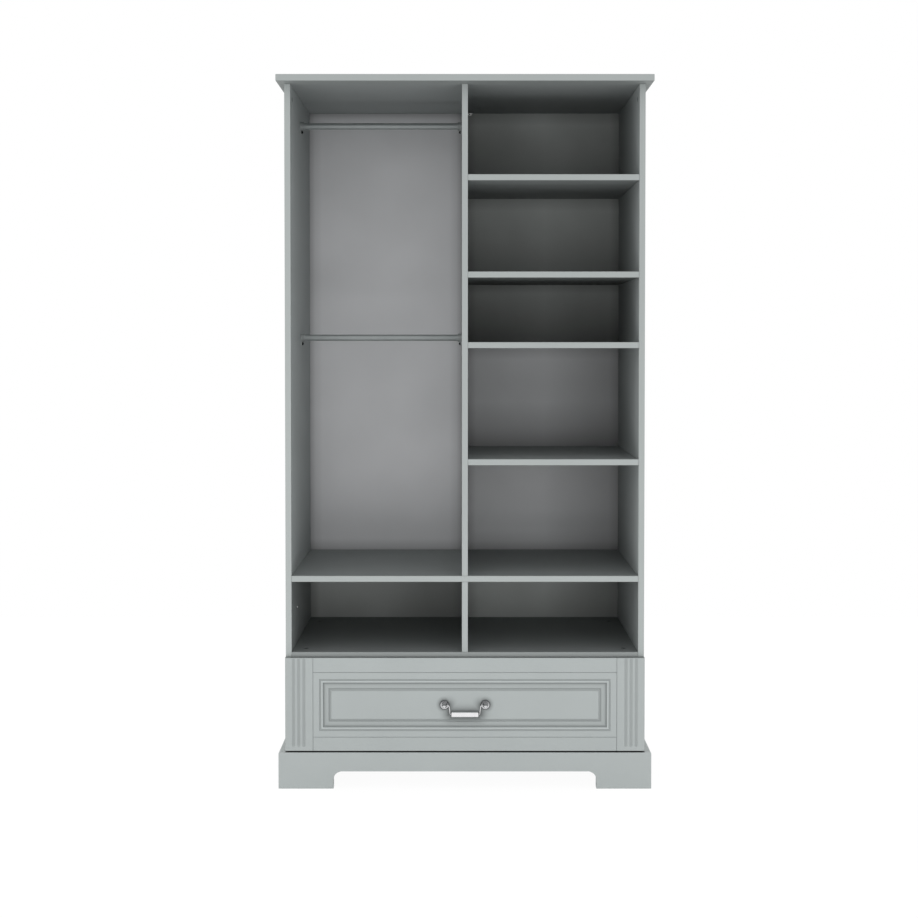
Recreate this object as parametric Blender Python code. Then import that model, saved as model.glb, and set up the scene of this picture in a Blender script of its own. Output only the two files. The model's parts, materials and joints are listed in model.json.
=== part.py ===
"""An open wardrobe with a hanging space, a column of shelves and one wide drawer on a plinth.

Metres, +Z up. The origin is on the floor under the middle of the wardrobe, whose front faces -Y.
Every board, rail, slide and fitting is an object of its own. The drawer and its handle hang on
empties that sit where the drawer slides and where the handle swings.
"""

import math

import bmesh
import bpy
from mathutils import Matrix, Vector

for old in list(bpy.data.objects):
    bpy.data.objects.remove(old, do_unlink=True)

# Clearances and edges
FIT = 0.0003
EDGE_EASE = 0.0008
THIN_EDGE_EASE = 0.0003
EDGE_STEPS = 2

# Carcass boards
CARCASS_WIDTH = 0.970
INNER_DEPTH = 0.530
BOARD = 0.016
BACK_PANEL = 0.003
BACK_RECESS = 0.010
BACK_GROOVE_DEPTH = 0.008

# Top board
TOP_BOARD = 0.018
TOP_FRONT_OVERHANG = 0.046
TOP_EDGE_ROUND = 0.0015

# Plinth and what stands on the floor
PLINTH_HEIGHT = 0.099
PLINTH_FRONT = 0.022
PLINTH_SIDE = 0.018
PLINTH_FLOOR_GAP = 0.001
PLINTH_TOP_ROUND = 0.003
PLINTH_EDGE_ROUND = 0.0012
FOOT_WIDTH = 0.148
SIDE_FOOT_WIDTH = 0.120
ARCH_HEIGHT = 0.048
ARCH_RADIUS = 0.020
SIDE_PANEL_CLEARANCE = 0.004
BASE_BOARD_DROP = 0.003
REAR_RAIL_HEIGHT = 0.040
CORNER_BLOCK = 0.060
GLIDE_HEIGHT = 0.006
GLIDE_DIAMETER = 0.036
# From the floor up, as shares of the glide's radius and height
GLIDE_PROFILE = ((0.85, 0.0), (1.0, 0.35), (1.0, 1.0))

# Clear heights between the boards, from the drawer up
DRAWER_FRONT_GAP = 0.003
DRAWER_FRONT_HEIGHT = 0.253
DRAWER_FRONT_OVERLAP = 0.004
LOWER_BAY_HEIGHT = 0.191
SHELF_BAY_HEIGHTS = (0.245, 0.174, 0.300, 0.300)
TOP_BAY_HEIGHT = 0.242

# Hanging rails and their brackets
RAIL_SETBACK = 0.265
RAIL_DIAMETER = 0.018
RAIL_WALL = 0.0012
UPPER_RAIL_DROP = 0.0766
LOWER_RAIL_RISE = 0.645
BRACKET_PLATE = 0.003
BRACKET_RING_WALL = 0.003
BRACKET_RING_LENGTH = 0.008
BRACKET_FOOT_WIDTH = 0.016
BRACKET_FOOT_REACH = 0.024
BRACKET_FOOT_ROUND = 0.003
BRACKET_SCREW_DROP = 0.017
SCREW_HEAD_DIAMETER = 0.0085
SCREW_HEAD_HEIGHT = 0.0028
SCREW_SHANK_DIAMETER = 0.0035
SCREW_GRIP = 0.012
# From the crown to the rim, as shares of the head's radius and height
SCREW_HEAD_PROFILE = ((0.0, 1.0), (0.6, 0.9), (0.9, 0.5), (1.0, 0.0))

# Cam fittings, the small cap on the left wall and the angle bracket behind the divider
CAM_DIAMETER = 0.015
CAM_HEIGHT = 0.012
CAM_INSET = 0.034
CAM_SETBACK = 0.054
CAM_PAIR_SPACING = 0.407
CAM_PAIR_FORWARD = 0.0075
CAM_CROSS_WIDTH = 0.002
CAM_CROSS_LENGTH = 0.009
CAM_CROSS_DEPTH = 0.0015
WALL_CAP_DIAMETER = 0.005
WALL_CAP_HEAD = 0.0012
WALL_CAP_SHANK_DIAMETER = 0.0032
WALL_CAP_SHANK = 0.006
WALL_CAP_SETBACK = 0.136
WALL_CAP_RISE = 0.100
# From the crown to the rim, as shares of the cap's radius and height
WALL_CAP_PROFILE = ((0.0, 1.0), (0.7, 0.8), (1.0, 0.3), (1.0, 0.0))
ANGLE_WIDTH = 0.016
ANGLE_DEPTH = 0.014
ANGLE_HEIGHT = 0.0065
ANGLE_WALL = 0.002

# Drawer front: one milled panel
DRAWER_FRONT = 0.018
DRAWER_FRONT_STANDOFF = 0.001
DRAWER_FRONT_ROUND = 0.0012
STILE_WIDTH = 0.0755
RAIL_WIDTH = 0.0393
JOINT_LINE_WIDTH = 0.0024
JOINT_LINE_DEPTH = 0.0008
FLUTE_COUNT = 3
FLUTE_PITCH = 0.014
FLUTE_WIDTH = 0.0075
FLUTE_DEPTH = 0.0020
FLUTE_BOTTOM_MARGIN = 0.0165
MOULDING_MARGIN = 0.0165
FIELD_DEPTH = 0.0010

# Drawer box
DRAWER_BOX_HEIGHT = 0.180
DRAWER_BOX_DEPTH = 0.470
DRAWER_BOX_RISE = 0.022
DRAWER_BOARD = 0.012
DRAWER_BOTTOM = 0.004
DRAWER_BOTTOM_RISE = 0.012
DRAWER_GROOVE_DEPTH = 0.006

# Ball bearing slides
SLIDE_SPACE = 0.0127
SLIDE_HEIGHT = 0.045
SLIDE_LENGTH = 0.450
SLIDE_STEEL = 0.0012
SLIDE_BALL = 0.0032
SLIDE_MIDDLE_WEB = 0.0035
SLIDE_SETBACK = 0.002

# Bail handle
HANDLE_SPACING = 0.110
HANDLE_PIVOT_REACH = 0.014
ROSETTE_DIAMETER = 0.026
ROSETTE_THICKNESS = 0.0040
POST_NECK_DIAMETER = 0.0070
BALL_DIAMETER = 0.012
STUD_DIAMETER = 0.004
STUD_LENGTH = 0.012
BAIL_WIRE = 0.0032
BAIL_DROP = 0.0237
BAIL_BEND = 0.0040
BAIL_HOOK = 0.0040
BAIL_GRIP_CLEARANCE = 0.0042
GRIP_LENGTH = 0.0746
GRIP_DIAMETER = 0.015
GRIP_END_ROUND = 0.0015
# From the rim to the neck, as shares of the rosette's radius and thickness
ROSETTE_PROFILE = ((1.0, 0.35), (0.93, 0.8), (0.82, 1.0), (0.70, 0.8), (0.62, 0.45), (0.42, 0.55))

# Roundness of turned pieces, and the tolerances of the modelling itself
SIDES = 24
WIRE_SIDES = 16
SMALL_SIDES = 12
ARC_STEPS = 6
FLUTE_STEPS = 4
SHARP_ANGLE = math.radians(35)
CUTTER_MARGIN = 0.002
SAME_PLACE = 1e-6

# Places worked out from the sizes above
half_width = CARCASS_WIDTH / 2
inner_half = half_width - BOARD
carcass_depth = INNER_DEPTH + BACK_PANEL + BACK_RECESS
overall_depth = TOP_FRONT_OVERHANG + carcass_depth
top_front_y = -overall_depth / 2
front_y = top_front_y + TOP_FRONT_OVERHANG
back_y = overall_depth / 2
panel_front_y = front_y + INNER_DEPTH
panel_back_y = panel_front_y + BACK_PANEL
plinth_half_width = half_width + PLINTH_SIDE
plinth_front_y = front_y - PLINTH_FRONT

drawer_front_bottom = PLINTH_HEIGHT + DRAWER_FRONT_GAP
drawer_front_top = drawer_front_bottom + DRAWER_FRONT_HEIGHT
bottom_board_z = drawer_front_top - DRAWER_FRONT_OVERLAP
lower_bay_floor = bottom_board_z + BOARD
middle_shelf_z = lower_bay_floor + LOWER_BAY_HEIGHT
shelf_bay_floor = middle_shelf_z + BOARD
ceiling_z = (
    shelf_bay_floor + sum(SHELF_BAY_HEIGHTS) + len(SHELF_BAY_HEIGHTS) * BOARD + TOP_BAY_HEIGHT
)
top_z = ceiling_z + TOP_BOARD
base_board_top = PLINTH_HEIGHT - BASE_BOARD_DROP
base_board_z = base_board_top - BOARD
side_panel_z = ARCH_HEIGHT + SIDE_PANEL_CLEARANCE
back_joint_z = middle_shelf_z + BOARD / 2
cam_pair_y = front_y + INNER_DEPTH / 2 - CAM_PAIR_FORWARD

rail_y = front_y + RAIL_SETBACK
upper_rail_z = ceiling_z - UPPER_RAIL_DROP
lower_rail_z = shelf_bay_floor + LOWER_RAIL_RISE
rail_radius = RAIL_DIAMETER / 2
rail_left_x = -inner_half
rail_right_x = -BOARD / 2

drawer_front_back_y = front_y - DRAWER_FRONT_STANDOFF
drawer_face_y = drawer_front_back_y - DRAWER_FRONT
drawer_front_z = (drawer_front_bottom + drawer_front_top) / 2
field_y = drawer_face_y + FIELD_DEPTH
drawer_half = inner_half - SLIDE_SPACE - 2 * FIT
drawer_box_z = base_board_top + DRAWER_BOX_RISE
drawer_box_front_y = drawer_front_back_y + FIT
drawer_box_back_y = front_y + DRAWER_BOX_DEPTH
slide_z = drawer_box_z + DRAWER_BOX_HEIGHT / 2
slide_front_y = front_y + SLIDE_SETBACK
handle_y = field_y - HANDLE_PIVOT_REACH
handle_z = drawer_front_z

# Cross-section of the moulding, from its outer edge inwards: distance in, then depth
MOULDING_PROFILE = (
    (-0.0010, -0.0006),
    (0.0015, 0.0009),
    (0.0050, 0.0016),
    (0.0058, 0.0002),
    (0.0085, 0.0001),
    (0.0102, 0.0006),
    (0.0112, 0.0020),
    (0.0119, 0.0042),
    (0.0145, 0.0041),
    (0.0250, 0.0022),
    (0.0256, 0.0034),
    (0.0275, 0.0038),
    (0.0305, 0.0030),
    (0.0330, FIELD_DEPTH),
)


def finish(name, colour, roughness, metallic=0.0):
    """A plain Principled material."""
    material = bpy.data.materials.new(name)
    material.use_nodes = True
    shader = material.node_tree.nodes["Principled BSDF"]
    shader.inputs["Base Color"].default_value = (*colour, 1.0)
    shader.inputs["Roughness"].default_value = roughness
    shader.inputs["Metallic"].default_value = metallic
    return material


grey_paint = finish("grey_paint", (0.440, 0.470, 0.460), 0.45)
back_paint = finish("back_paint", (0.420, 0.430, 0.440), 0.55)
grey_board = finish("grey_board", (0.300, 0.310, 0.305), 0.70)
drawer_board = finish("drawer_board", (0.560, 0.580, 0.575), 0.50)
chrome = finish("chrome", (0.800, 0.800, 0.810), 0.12, 1.0)
bracket_metal = finish("bracket_metal", (0.420, 0.440, 0.440), 0.35, 0.8)
zinc_steel = finish("zinc_steel", (0.450, 0.460, 0.470), 0.35, 1.0)
black_steel = finish("black_steel", (0.020, 0.022, 0.022), 0.40, 0.6)
black_plastic = finish("black_plastic", (0.025, 0.025, 0.025), 0.60)
white_plastic = finish("white_plastic", (0.780, 0.780, 0.770), 0.45)


def place_of(thing):
    """World place of an object or empty, which none of its parents turns."""
    if thing is None:
        return Vector()
    return thing.location + place_of(thing.parent)


def pivot(name, place, parent=None):
    """An empty that carries the pieces which move together."""
    empty = bpy.data.objects.new(name, None)
    empty.empty_display_size = 0.05
    empty.parent = parent
    empty.location = Vector(place) - place_of(parent)
    bpy.context.scene.collection.objects.link(empty)
    return empty


def piece(name, shape, material, origin=None, parent=None, smooth=False):
    """Makes an object from a bmesh in world metres, with its own origin in its middle or as given."""
    bmesh.ops.recalc_face_normals(shape, faces=shape.faces)
    if origin is None:
        corners = [vertex.co for vertex in shape.verts]
        low = Vector(min(corner[axis] for corner in corners) for axis in range(3))
        high = Vector(max(corner[axis] for corner in corners) for axis in range(3))
        origin = (low + high) / 2
    origin = Vector(origin)
    bmesh.ops.translate(shape, vec=-origin, verts=shape.verts)
    mesh = bpy.data.meshes.new(name)
    shape.to_mesh(mesh)
    shape.free()
    if material:
        mesh.materials.append(material)
    if smooth:
        mesh.shade_smooth()
        mesh.set_sharp_from_angle(angle=SHARP_ANGLE)
    made = bpy.data.objects.new(name, mesh)
    made.parent = parent
    made.location = origin - place_of(parent)
    bpy.context.scene.collection.objects.link(made)
    return made


def box(low, high):
    shape = bmesh.new()
    bmesh.ops.create_cube(shape, size=1)
    for vertex in shape.verts:
        vertex.co = Vector(a + (b - a) * (c + 0.5) for a, b, c in zip(low, high, vertex.co))
    return shape


def board(name, low, high, material, parent=None, ease=EDGE_EASE):
    """A flat board with all its edges eased."""
    made = piece(name, box(low, high), material, parent=parent)
    bevel = made.modifiers.new("eased_edges", "BEVEL")
    bevel.width = ease
    bevel.segments = EDGE_STEPS
    bevel.limit_method = "ANGLE"
    return made


def rounded(corners, steps=ARC_STEPS):
    """Outline points of a polygon whose corners (across, up, radius) are drawn as arcs."""
    outline = []
    for index, (across, up, radius) in enumerate(corners):
        here = Vector((across, up))
        if radius == 0:
            outline.append(here)
            continue
        before = (Vector(corners[index - 1][:2]) - here).normalized()
        after = (Vector(corners[(index + 1) % len(corners)][:2]) - here).normalized()
        half = before.angle(after) / 2
        centre = here + (before + after).normalized() * (radius / math.sin(half))
        start = here + before * (radius / math.tan(half)) - centre
        end = here + after * (radius / math.tan(half)) - centre
        first = math.atan2(start.y, start.x)
        sweep = math.remainder(math.atan2(end.y, end.x) - first, 2 * math.pi)
        for step in range(steps + 1):
            turn = first + sweep * step / steps
            outline.append(centre + radius * Vector((math.cos(turn), math.sin(turn))))
    return outline


def circle(radius, across, up, sides=SIDES):
    turns = (2 * math.pi * step / sides for step in range(sides))
    return [Vector((across + radius * math.cos(t), up + radius * math.sin(t))) for t in turns]


def sized(shares, radius, height, start=0.0):
    """A turned profile in metres, from points given as shares of a radius and a height."""
    return [(radius * across, start + height * up) for across, up in shares]


def prism(outline, along, start, end):
    """Pushes an outline along X, Y or Z. It lies in the other two axes, in alphabetical order."""
    place = {
        "X": lambda point, depth: (depth, point[0], point[1]),
        "Y": lambda point, depth: (point[0], depth, point[1]),
        "Z": lambda point, depth: (point[0], point[1], depth),
    }[along]
    shape = bmesh.new()
    first = [shape.verts.new(place(point, start)) for point in outline]
    last = [shape.verts.new(place(point, end)) for point in outline]
    shape.faces.new(first)
    shape.faces.new(reversed(last))
    for index in range(len(outline)):
        ahead = (index + 1) % len(outline)
        shape.faces.new((first[index], last[index], last[ahead], first[ahead]))
    return shape


def turned(profile, along, centre, sides=SIDES):
    """Spins a profile of (radius, distance) points, which starts and ends on the axis."""
    shape = bmesh.new()
    points = [shape.verts.new((radius, 0.0, distance)) for radius, distance in profile]
    edges = [shape.edges.new(pair) for pair in zip(points, points[1:])]
    bmesh.ops.spin(
        shape, geom=points + edges, cent=(0, 0, 0), axis=(0, 0, 1),
        angle=2 * math.pi, steps=sides, use_merge=True,
    )
    bmesh.ops.remove_doubles(shape, verts=shape.verts, dist=SAME_PLACE)
    aim_at(shape, along, centre)
    return shape


def aim_at(shape, along, centre):
    """Turns a shape made along +Z to another direction and sets it in its place."""
    turn = Vector((0, 0, 1)).rotation_difference(Vector(along)).to_matrix().to_4x4()
    bmesh.ops.transform(shape, matrix=Matrix.Translation(centre) @ turn, verts=shape.verts)


def cut(target, name, shape, operation="DIFFERENCE"):
    """Cuts a shape out of an object, or joins it on, with a Boolean."""
    cutter = piece(f"{target.name}_{name}", shape, None, parent=target.parent)
    cutter.hide_render = True
    cutter.display_type = "WIRE"
    boolean = target.modifiers.new(name, "BOOLEAN")
    boolean.object = cutter
    boolean.operation = operation
    boolean.solver = "EXACT"


def round_edges(shape, edges, radius, steps=EDGE_STEPS):
    bmesh.ops.bevel(
        shape, geom=edges, offset=radius, offset_type="OFFSET", segments=steps,
        profile=0.5, affect="EDGES", clamp_overlap=True,
    )


def slice_off(shape, point, outward):
    """Saws off what lies beyond a plane and closes the cut."""
    sawn = bmesh.ops.bisect_plane(
        shape, geom=shape.verts[:] + shape.edges[:] + shape.faces[:], dist=SAME_PLACE,
        plane_co=point, plane_no=outward, clear_outer=True,
    )
    rim = [thing for thing in sawn["geom_cut"] if isinstance(thing, bmesh.types.BMEdge)]
    bmesh.ops.edgeloop_fill(shape, edges=rim)


def make_side_panel(name, side):
    """One side of the cabinet, with a groove for the back panels and a cam lock near the top."""
    outer = side * half_width
    inner = side * inner_half
    panel = board(
        name, (min(outer, inner), front_y, side_panel_z),
        (max(outer, inner), back_y, ceiling_z - FIT), grey_paint,
    )
    groove_bed = inner + side * BACK_GROOVE_DEPTH
    groove_mouth = inner - side * CUTTER_MARGIN
    groove = box(
        (min(groove_bed, groove_mouth), panel_front_y - FIT, side_panel_z - CUTTER_MARGIN),
        (max(groove_bed, groove_mouth), panel_back_y + FIT, ceiling_z + CUTTER_MARGIN),
    )
    cut(panel, "back_groove", groove)
    cam_place = (inner, front_y + CAM_SETBACK, ceiling_z - CAM_INSET)
    fit_cam(f"{name}_cam", panel, cam_place, (-side, 0, 0))
    return panel


def make_shelves():
    """The boards between the sides. It gives back the divider that the hanging rails reach."""
    across = inner_half - FIT
    rear = panel_front_y - FIT
    board(
        "base_board", (-across, front_y, base_board_z), (across, rear, base_board_top), grey_paint
    )
    bottom = board(
        "bottom_board", (-across, front_y, bottom_board_z), (across, rear, lower_bay_floor),
        grey_paint,
    )
    board(
        "middle_shelf", (-across, front_y, middle_shelf_z), (across, rear, shelf_bay_floor),
        grey_paint,
    )
    board(
        "lower_divider", (-BOARD / 2, front_y, lower_bay_floor + FIT),
        (BOARD / 2, rear, middle_shelf_z - FIT), grey_paint,
    )
    divider = board(
        "upper_divider", (-BOARD / 2, front_y, shelf_bay_floor + FIT),
        (BOARD / 2, rear, ceiling_z - FIT), grey_paint,
    )
    shelf_top = ceiling_z - TOP_BAY_HEIGHT
    for number, bay_height in enumerate(SHELF_BAY_HEIGHTS, start=1):
        board(
            f"shelf_{number}", (BOARD / 2 + FIT, front_y, shelf_top - BOARD),
            (across, rear, shelf_top), grey_paint,
        )
        shelf_top -= BOARD + bay_height
    for side, side_name in ((-1, "left"), (1, "right")):
        for row, row_name in ((-1, "front"), (1, "rear")):
            place = (
                side * (inner_half - CAM_INSET),
                cam_pair_y + row * CAM_PAIR_SPACING / 2,
                lower_bay_floor,
            )
            fit_cam(f"bottom_cam_{row_name}_{side_name}", bottom, place, (0, 0, 1))
    return divider


def make_back_panels():
    """Two thin panels in the sides' grooves, which meet behind the middle shelf."""
    panel_half = inner_half + BACK_GROOVE_DEPTH - FIT
    board(
        "back_panel", (-panel_half, panel_front_y, back_joint_z + FIT / 2),
        (panel_half, panel_back_y, ceiling_z - FIT), back_paint, ease=THIN_EDGE_EASE,
    )
    board(
        "lower_back_panel", (-panel_half, panel_front_y, base_board_z),
        (panel_half, panel_back_y, back_joint_z - FIT / 2), back_paint, ease=THIN_EDGE_EASE,
    )


def make_top_board():
    board(
        "top_board", (-plinth_half_width, top_front_y, ceiling_z),
        (plinth_half_width, back_y, top_z), grey_paint, ease=TOP_EDGE_ROUND,
    )


def fit_cam(name, target, place, outward):
    """A cam lock sunk flush in a blind hole, with a cross for the screwdriver."""
    radius = CAM_DIAMETER / 2
    hole = turned(
        (
            (0, CUTTER_MARGIN), (radius + FIT, CUTTER_MARGIN),
            (radius + FIT, -CAM_HEIGHT - 2 * FIT), (0, -CAM_HEIGHT - 2 * FIT),
        ),
        outward, place,
    )
    cut(target, f"{name}_hole", hole)
    body = turned(
        (
            (0, -FIT), (radius - EDGE_EASE, -FIT), (radius, -FIT - EDGE_EASE),
            (radius, -CAM_HEIGHT - FIT), (0, -CAM_HEIGHT - FIT),
        ),
        outward, place,
    )
    cam = piece(name, body, zinc_steel, smooth=True)
    reach = CAM_CROSS_LENGTH / 2
    half = CAM_CROSS_WIDTH / 2
    cross = (
        (half, half), (reach, half), (reach, -half), (half, -half), (half, -reach), (-half, -reach),
        (-half, -half), (-reach, -half), (-reach, half), (-half, half), (-half, reach), (half, reach),
    )
    recess = prism(cross, "Z", -CAM_CROSS_DEPTH, CUTTER_MARGIN)
    aim_at(recess, outward, place)
    cut(cam, "cross", recess)


def fit_wall_cap(panel):
    """The small white cap that closes a fitting's hole in the left wall."""
    radius = WALL_CAP_DIAMETER / 2
    shank = WALL_CAP_SHANK_DIAMETER / 2
    place = Vector((-inner_half, front_y + WALL_CAP_SETBACK, lower_bay_floor + WALL_CAP_RISE))
    hole = turned(
        (
            (0, CUTTER_MARGIN), (shank + FIT, CUTTER_MARGIN),
            (shank + FIT, -WALL_CAP_SHANK - FIT), (0, -WALL_CAP_SHANK - FIT),
        ),
        (1, 0, 0), place, sides=SMALL_SIDES,
    )
    cut(panel, "wall_cap_hole", hole)
    profile = sized(WALL_CAP_PROFILE, radius, WALL_CAP_HEAD, start=FIT)
    profile += [(shank, FIT), (shank, -WALL_CAP_SHANK), (0, -WALL_CAP_SHANK)]
    cap = turned(profile, (1, 0, 0), place, sides=SMALL_SIDES)
    piece("wall_cap", cap, white_plastic, smooth=True)


def make_angle_bracket():
    """The angle that ties the back panel to the top board, beside the divider."""
    high = ceiling_z - FIT
    rear = panel_front_y - FIT
    outline = (
        (rear, high), (rear - ANGLE_DEPTH, high), (rear - ANGLE_DEPTH, high - ANGLE_WALL),
        (rear - ANGLE_WALL, high - ANGLE_WALL), (rear - ANGLE_WALL, high - ANGLE_HEIGHT),
        (rear, high - ANGLE_HEIGHT),
    )
    left = BOARD / 2 + FIT
    piece("angle_bracket", prism(outline, "X", left, left + ANGLE_WIDTH), white_plastic)


def make_rail(name, height, left_panel, divider):
    """One hanging rail, the brackets that hold its ends and the screws through their feet."""
    end_gap = BRACKET_PLATE + 2 * FIT
    start = rail_left_x + end_gap
    end = rail_right_x - end_gap
    outline = circle(rail_radius, rail_y, height)
    rail = piece(name, prism(outline, "X", start, end), chrome, smooth=True)
    bore = circle(rail_radius - RAIL_WALL, rail_y, height)
    cut(rail, "bore", prism(bore, "X", start - CUTTER_MARGIN, end + CUTTER_MARGIN))
    for wall_x, away, side_name, target in (
        (rail_left_x, 1, "left", left_panel),
        (rail_right_x, -1, "right", divider),
    ):
        make_bracket(f"{name}_{side_name}", wall_x, away, height, target)


def make_bracket(name, wall_x, away, height, target):
    """A socket for the rail's end on a plate that runs down to one screw."""
    ring_bore = rail_radius + FIT
    ring_radius = ring_bore + BRACKET_RING_WALL
    foot = BRACKET_FOOT_WIDTH / 2
    lean = math.asin(foot / ring_radius)
    crown = [
        Vector((ring_radius * math.sin(turn), ring_radius * math.cos(turn)))
        for turn in (
            -(math.pi - lean) + 2 * (math.pi - lean) * step / SIDES for step in range(SIDES + 1)
        )
    ]
    sole = rounded(
        (
            (foot, -ring_radius, 0), (foot, -BRACKET_FOOT_REACH, BRACKET_FOOT_ROUND),
            (-foot, -BRACKET_FOOT_REACH, BRACKET_FOOT_ROUND), (-foot, -ring_radius, 0),
        )
    )[1:-1]
    outline = [Vector((rail_y + p.x, height + p.y)) for p in crown + sole]
    back = wall_x + away * FIT
    face = back + away * BRACKET_PLATE
    bracket = piece(f"{name}_bracket", prism(outline, "X", back, face), bracket_metal, smooth=True)
    ring = circle(ring_radius - FIT, rail_y, height)
    rim = face + away * BRACKET_RING_LENGTH
    cut(bracket, "ring", prism(ring, "X", back + away * BRACKET_PLATE / 2, rim), "UNION")
    bore = circle(ring_bore, rail_y, height)
    cut(bracket, "bore", prism(bore, "X", face, rim + away * CUTTER_MARGIN))
    screw_place = Vector((wall_x, rail_y, height - BRACKET_SCREW_DROP))
    shank = SCREW_SHANK_DIAMETER / 2
    drill = (
        (0, BRACKET_PLATE + CUTTER_MARGIN), (shank + FIT, BRACKET_PLATE + CUTTER_MARGIN),
        (shank + FIT, -SCREW_GRIP - FIT), (0, -SCREW_GRIP - FIT),
    )
    cut(bracket, "screw_hole", turned(drill, (away, 0, 0), screw_place, sides=SMALL_SIDES))
    cut(target, f"{name}_pilot", turned(drill, (away, 0, 0), screw_place, sides=SMALL_SIDES))
    seat = BRACKET_PLATE + 2 * FIT
    profile = sized(SCREW_HEAD_PROFILE, SCREW_HEAD_DIAMETER / 2, SCREW_HEAD_HEIGHT, start=seat)
    profile += [(shank, seat), (shank, -SCREW_GRIP + shank), (0, -SCREW_GRIP)]
    screw = turned(profile, (away, 0, 0), screw_place, sides=WIRE_SIDES)
    piece(f"{name}_screw", screw, black_steel, smooth=True)


def arch_outline(start, end, foot_start, foot_end):
    """A plinth board seen from outside: two feet with an arch between them."""
    low = PLINTH_FLOOR_GAP
    return rounded(
        (
            (start, low, 0), (start, PLINTH_HEIGHT, 0), (end, PLINTH_HEIGHT, 0), (end, low, 0),
            (foot_end, low, 0), (foot_end, ARCH_HEIGHT, ARCH_RADIUS),
            (foot_start, ARCH_HEIGHT, ARCH_RADIUS), (foot_start, low, 0),
        )
    )


def round_plinth(shape, across, outer):
    """Rounds the edges of a plinth board's outer face, the top one more than the others."""
    face_edges = [
        edge for edge in shape.edges
        if all(abs(vertex.co[across] - outer) < FIT for vertex in edge.verts)
    ]
    along = 1 - across
    ends = [vertex.co[along] for vertex in shape.verts]
    limits = (min(ends), max(ends))
    top = []
    others = []
    for edge in face_edges:
        one, two = edge.verts
        if abs(one.co.z - PLINTH_HEIGHT) < FIT and abs(two.co.z - PLINTH_HEIGHT) < FIT:
            top.append(edge)
        elif not any(
            abs(one.co[along] - limit) < FIT and abs(two.co[along] - limit) < FIT for limit in limits
        ):
            others.append(edge)
    round_edges(shape, others, PLINTH_EDGE_ROUND, steps=1)
    kept = [edge for edge in top if edge.is_valid]
    round_edges(shape, kept, PLINTH_TOP_ROUND, steps=3)


def make_plinth():
    """Front and side plinth boards, mitred where they meet."""
    mitre = Vector((PLINTH_FRONT, PLINTH_SIDE, 0)).normalized()
    front = prism(
        arch_outline(
            -plinth_half_width, plinth_half_width,
            -plinth_half_width + FOOT_WIDTH, plinth_half_width - FOOT_WIDTH,
        ),
        "Y", plinth_front_y, front_y - FIT,
    )
    round_plinth(front, 1, plinth_front_y)
    for side in (-1, 1):
        outward = Vector((side * mitre.x, mitre.y, 0))
        slice_off(front, (side * plinth_half_width, plinth_front_y, 0), outward)
    piece("plinth_front", front, grey_paint)
    for side, name in ((-1, "plinth_left"), (1, "plinth_right")):
        outer = side * plinth_half_width
        shape = prism(
            arch_outline(
                plinth_front_y, back_y,
                plinth_front_y + SIDE_FOOT_WIDTH, back_y - SIDE_FOOT_WIDTH,
            ),
            "X", outer, side * (half_width + FIT),
        )
        round_plinth(shape, 0, outer)
        inward = Vector((-side * mitre.x, -mitre.y, 0))
        corner = Vector((outer, plinth_front_y, 0)) - inward * FIT
        slice_off(shape, corner, inward)
        piece(name, shape, grey_paint)


def make_supports():
    """What carries the base board: a rail at the back and a block with a glide in each corner."""
    rear_reach = inner_half - FIT
    board(
        "rear_rail", (-rear_reach, back_y - BOARD, base_board_z - FIT - REAR_RAIL_HEIGHT),
        (rear_reach, back_y, base_board_z - FIT), grey_board,
    )
    rear_block_y = back_y - BOARD - FIT
    for side, side_name in ((-1, "left"), (1, "right")):
        block_x = sorted((side * rear_reach, side * (rear_reach - CORNER_BLOCK)))
        for row_name, near_y, far_y in (
            ("front", front_y, front_y + CORNER_BLOCK),
            ("rear", rear_block_y - CORNER_BLOCK, rear_block_y),
        ):
            label = f"{row_name}_{side_name}"
            board(
                f"corner_block_{label}", (block_x[0], near_y, GLIDE_HEIGHT + FIT),
                (block_x[1], far_y, base_board_z - FIT), grey_board,
            )
            middle = ((block_x[0] + block_x[1]) / 2, (near_y + far_y) / 2, 0)
            make_glide(f"glide_{label}", middle)


def make_glide(name, place):
    rim = sized(GLIDE_PROFILE, GLIDE_DIAMETER / 2, GLIDE_HEIGHT)
    glide = turned([(0, 0), *rim, (0, GLIDE_HEIGHT)], (0, 0, 1), place)
    piece(name, glide, black_plastic, smooth=True)


def moulding_air(profile):
    """What is milled away inside the moulding: a stack of rectangles that follow its profile."""
    left = -half_width + STILE_WIDTH + MOULDING_MARGIN
    low = drawer_front_bottom + RAIL_WIDTH + MOULDING_MARGIN
    high = drawer_front_top - RAIL_WIDTH - MOULDING_MARGIN
    shape = bmesh.new()
    rings = []
    for inset, depth in profile:
        y = drawer_face_y + depth
        corners = (
            (left + inset, low + inset), (-left - inset, low + inset),
            (-left - inset, high - inset), (left + inset, high - inset),
        )
        rings.append([shape.verts.new((x, y, z)) for x, z in corners])
    shape.faces.new(rings[0])
    shape.faces.new(reversed(rings[-1]))
    for ring, following in zip(rings, rings[1:]):
        for index in range(4):
            ahead = (index + 1) % 4
            shape.faces.new((ring[index], following[index], following[ahead], ring[ahead]))
    return shape


def joint_line(start, end):
    """A V-shaped cutter along a line on the drawer's face. start and end are (x, z)."""
    start = Vector((start[0], drawer_face_y, start[1]))
    end = Vector((end[0], drawer_face_y, end[1]))
    across = (end - start).normalized().cross(Vector((0, 1, 0))) * (JOINT_LINE_WIDTH / 2)
    front = Vector((0, -JOINT_LINE_DEPTH, 0))
    shape = bmesh.new()
    ends = []
    for point in (start, end):
        section = (point + 2 * across + front, point - 2 * across + front, point - front)
        ends.append([shape.verts.new(corner) for corner in section])
    shape.faces.new(ends[0])
    shape.faces.new(reversed(ends[1]))
    for index in range(3):
        ahead = (index + 1) % 3
        shape.faces.new((ends[0][index], ends[1][index], ends[1][ahead], ends[0][ahead]))
    return shape


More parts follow.
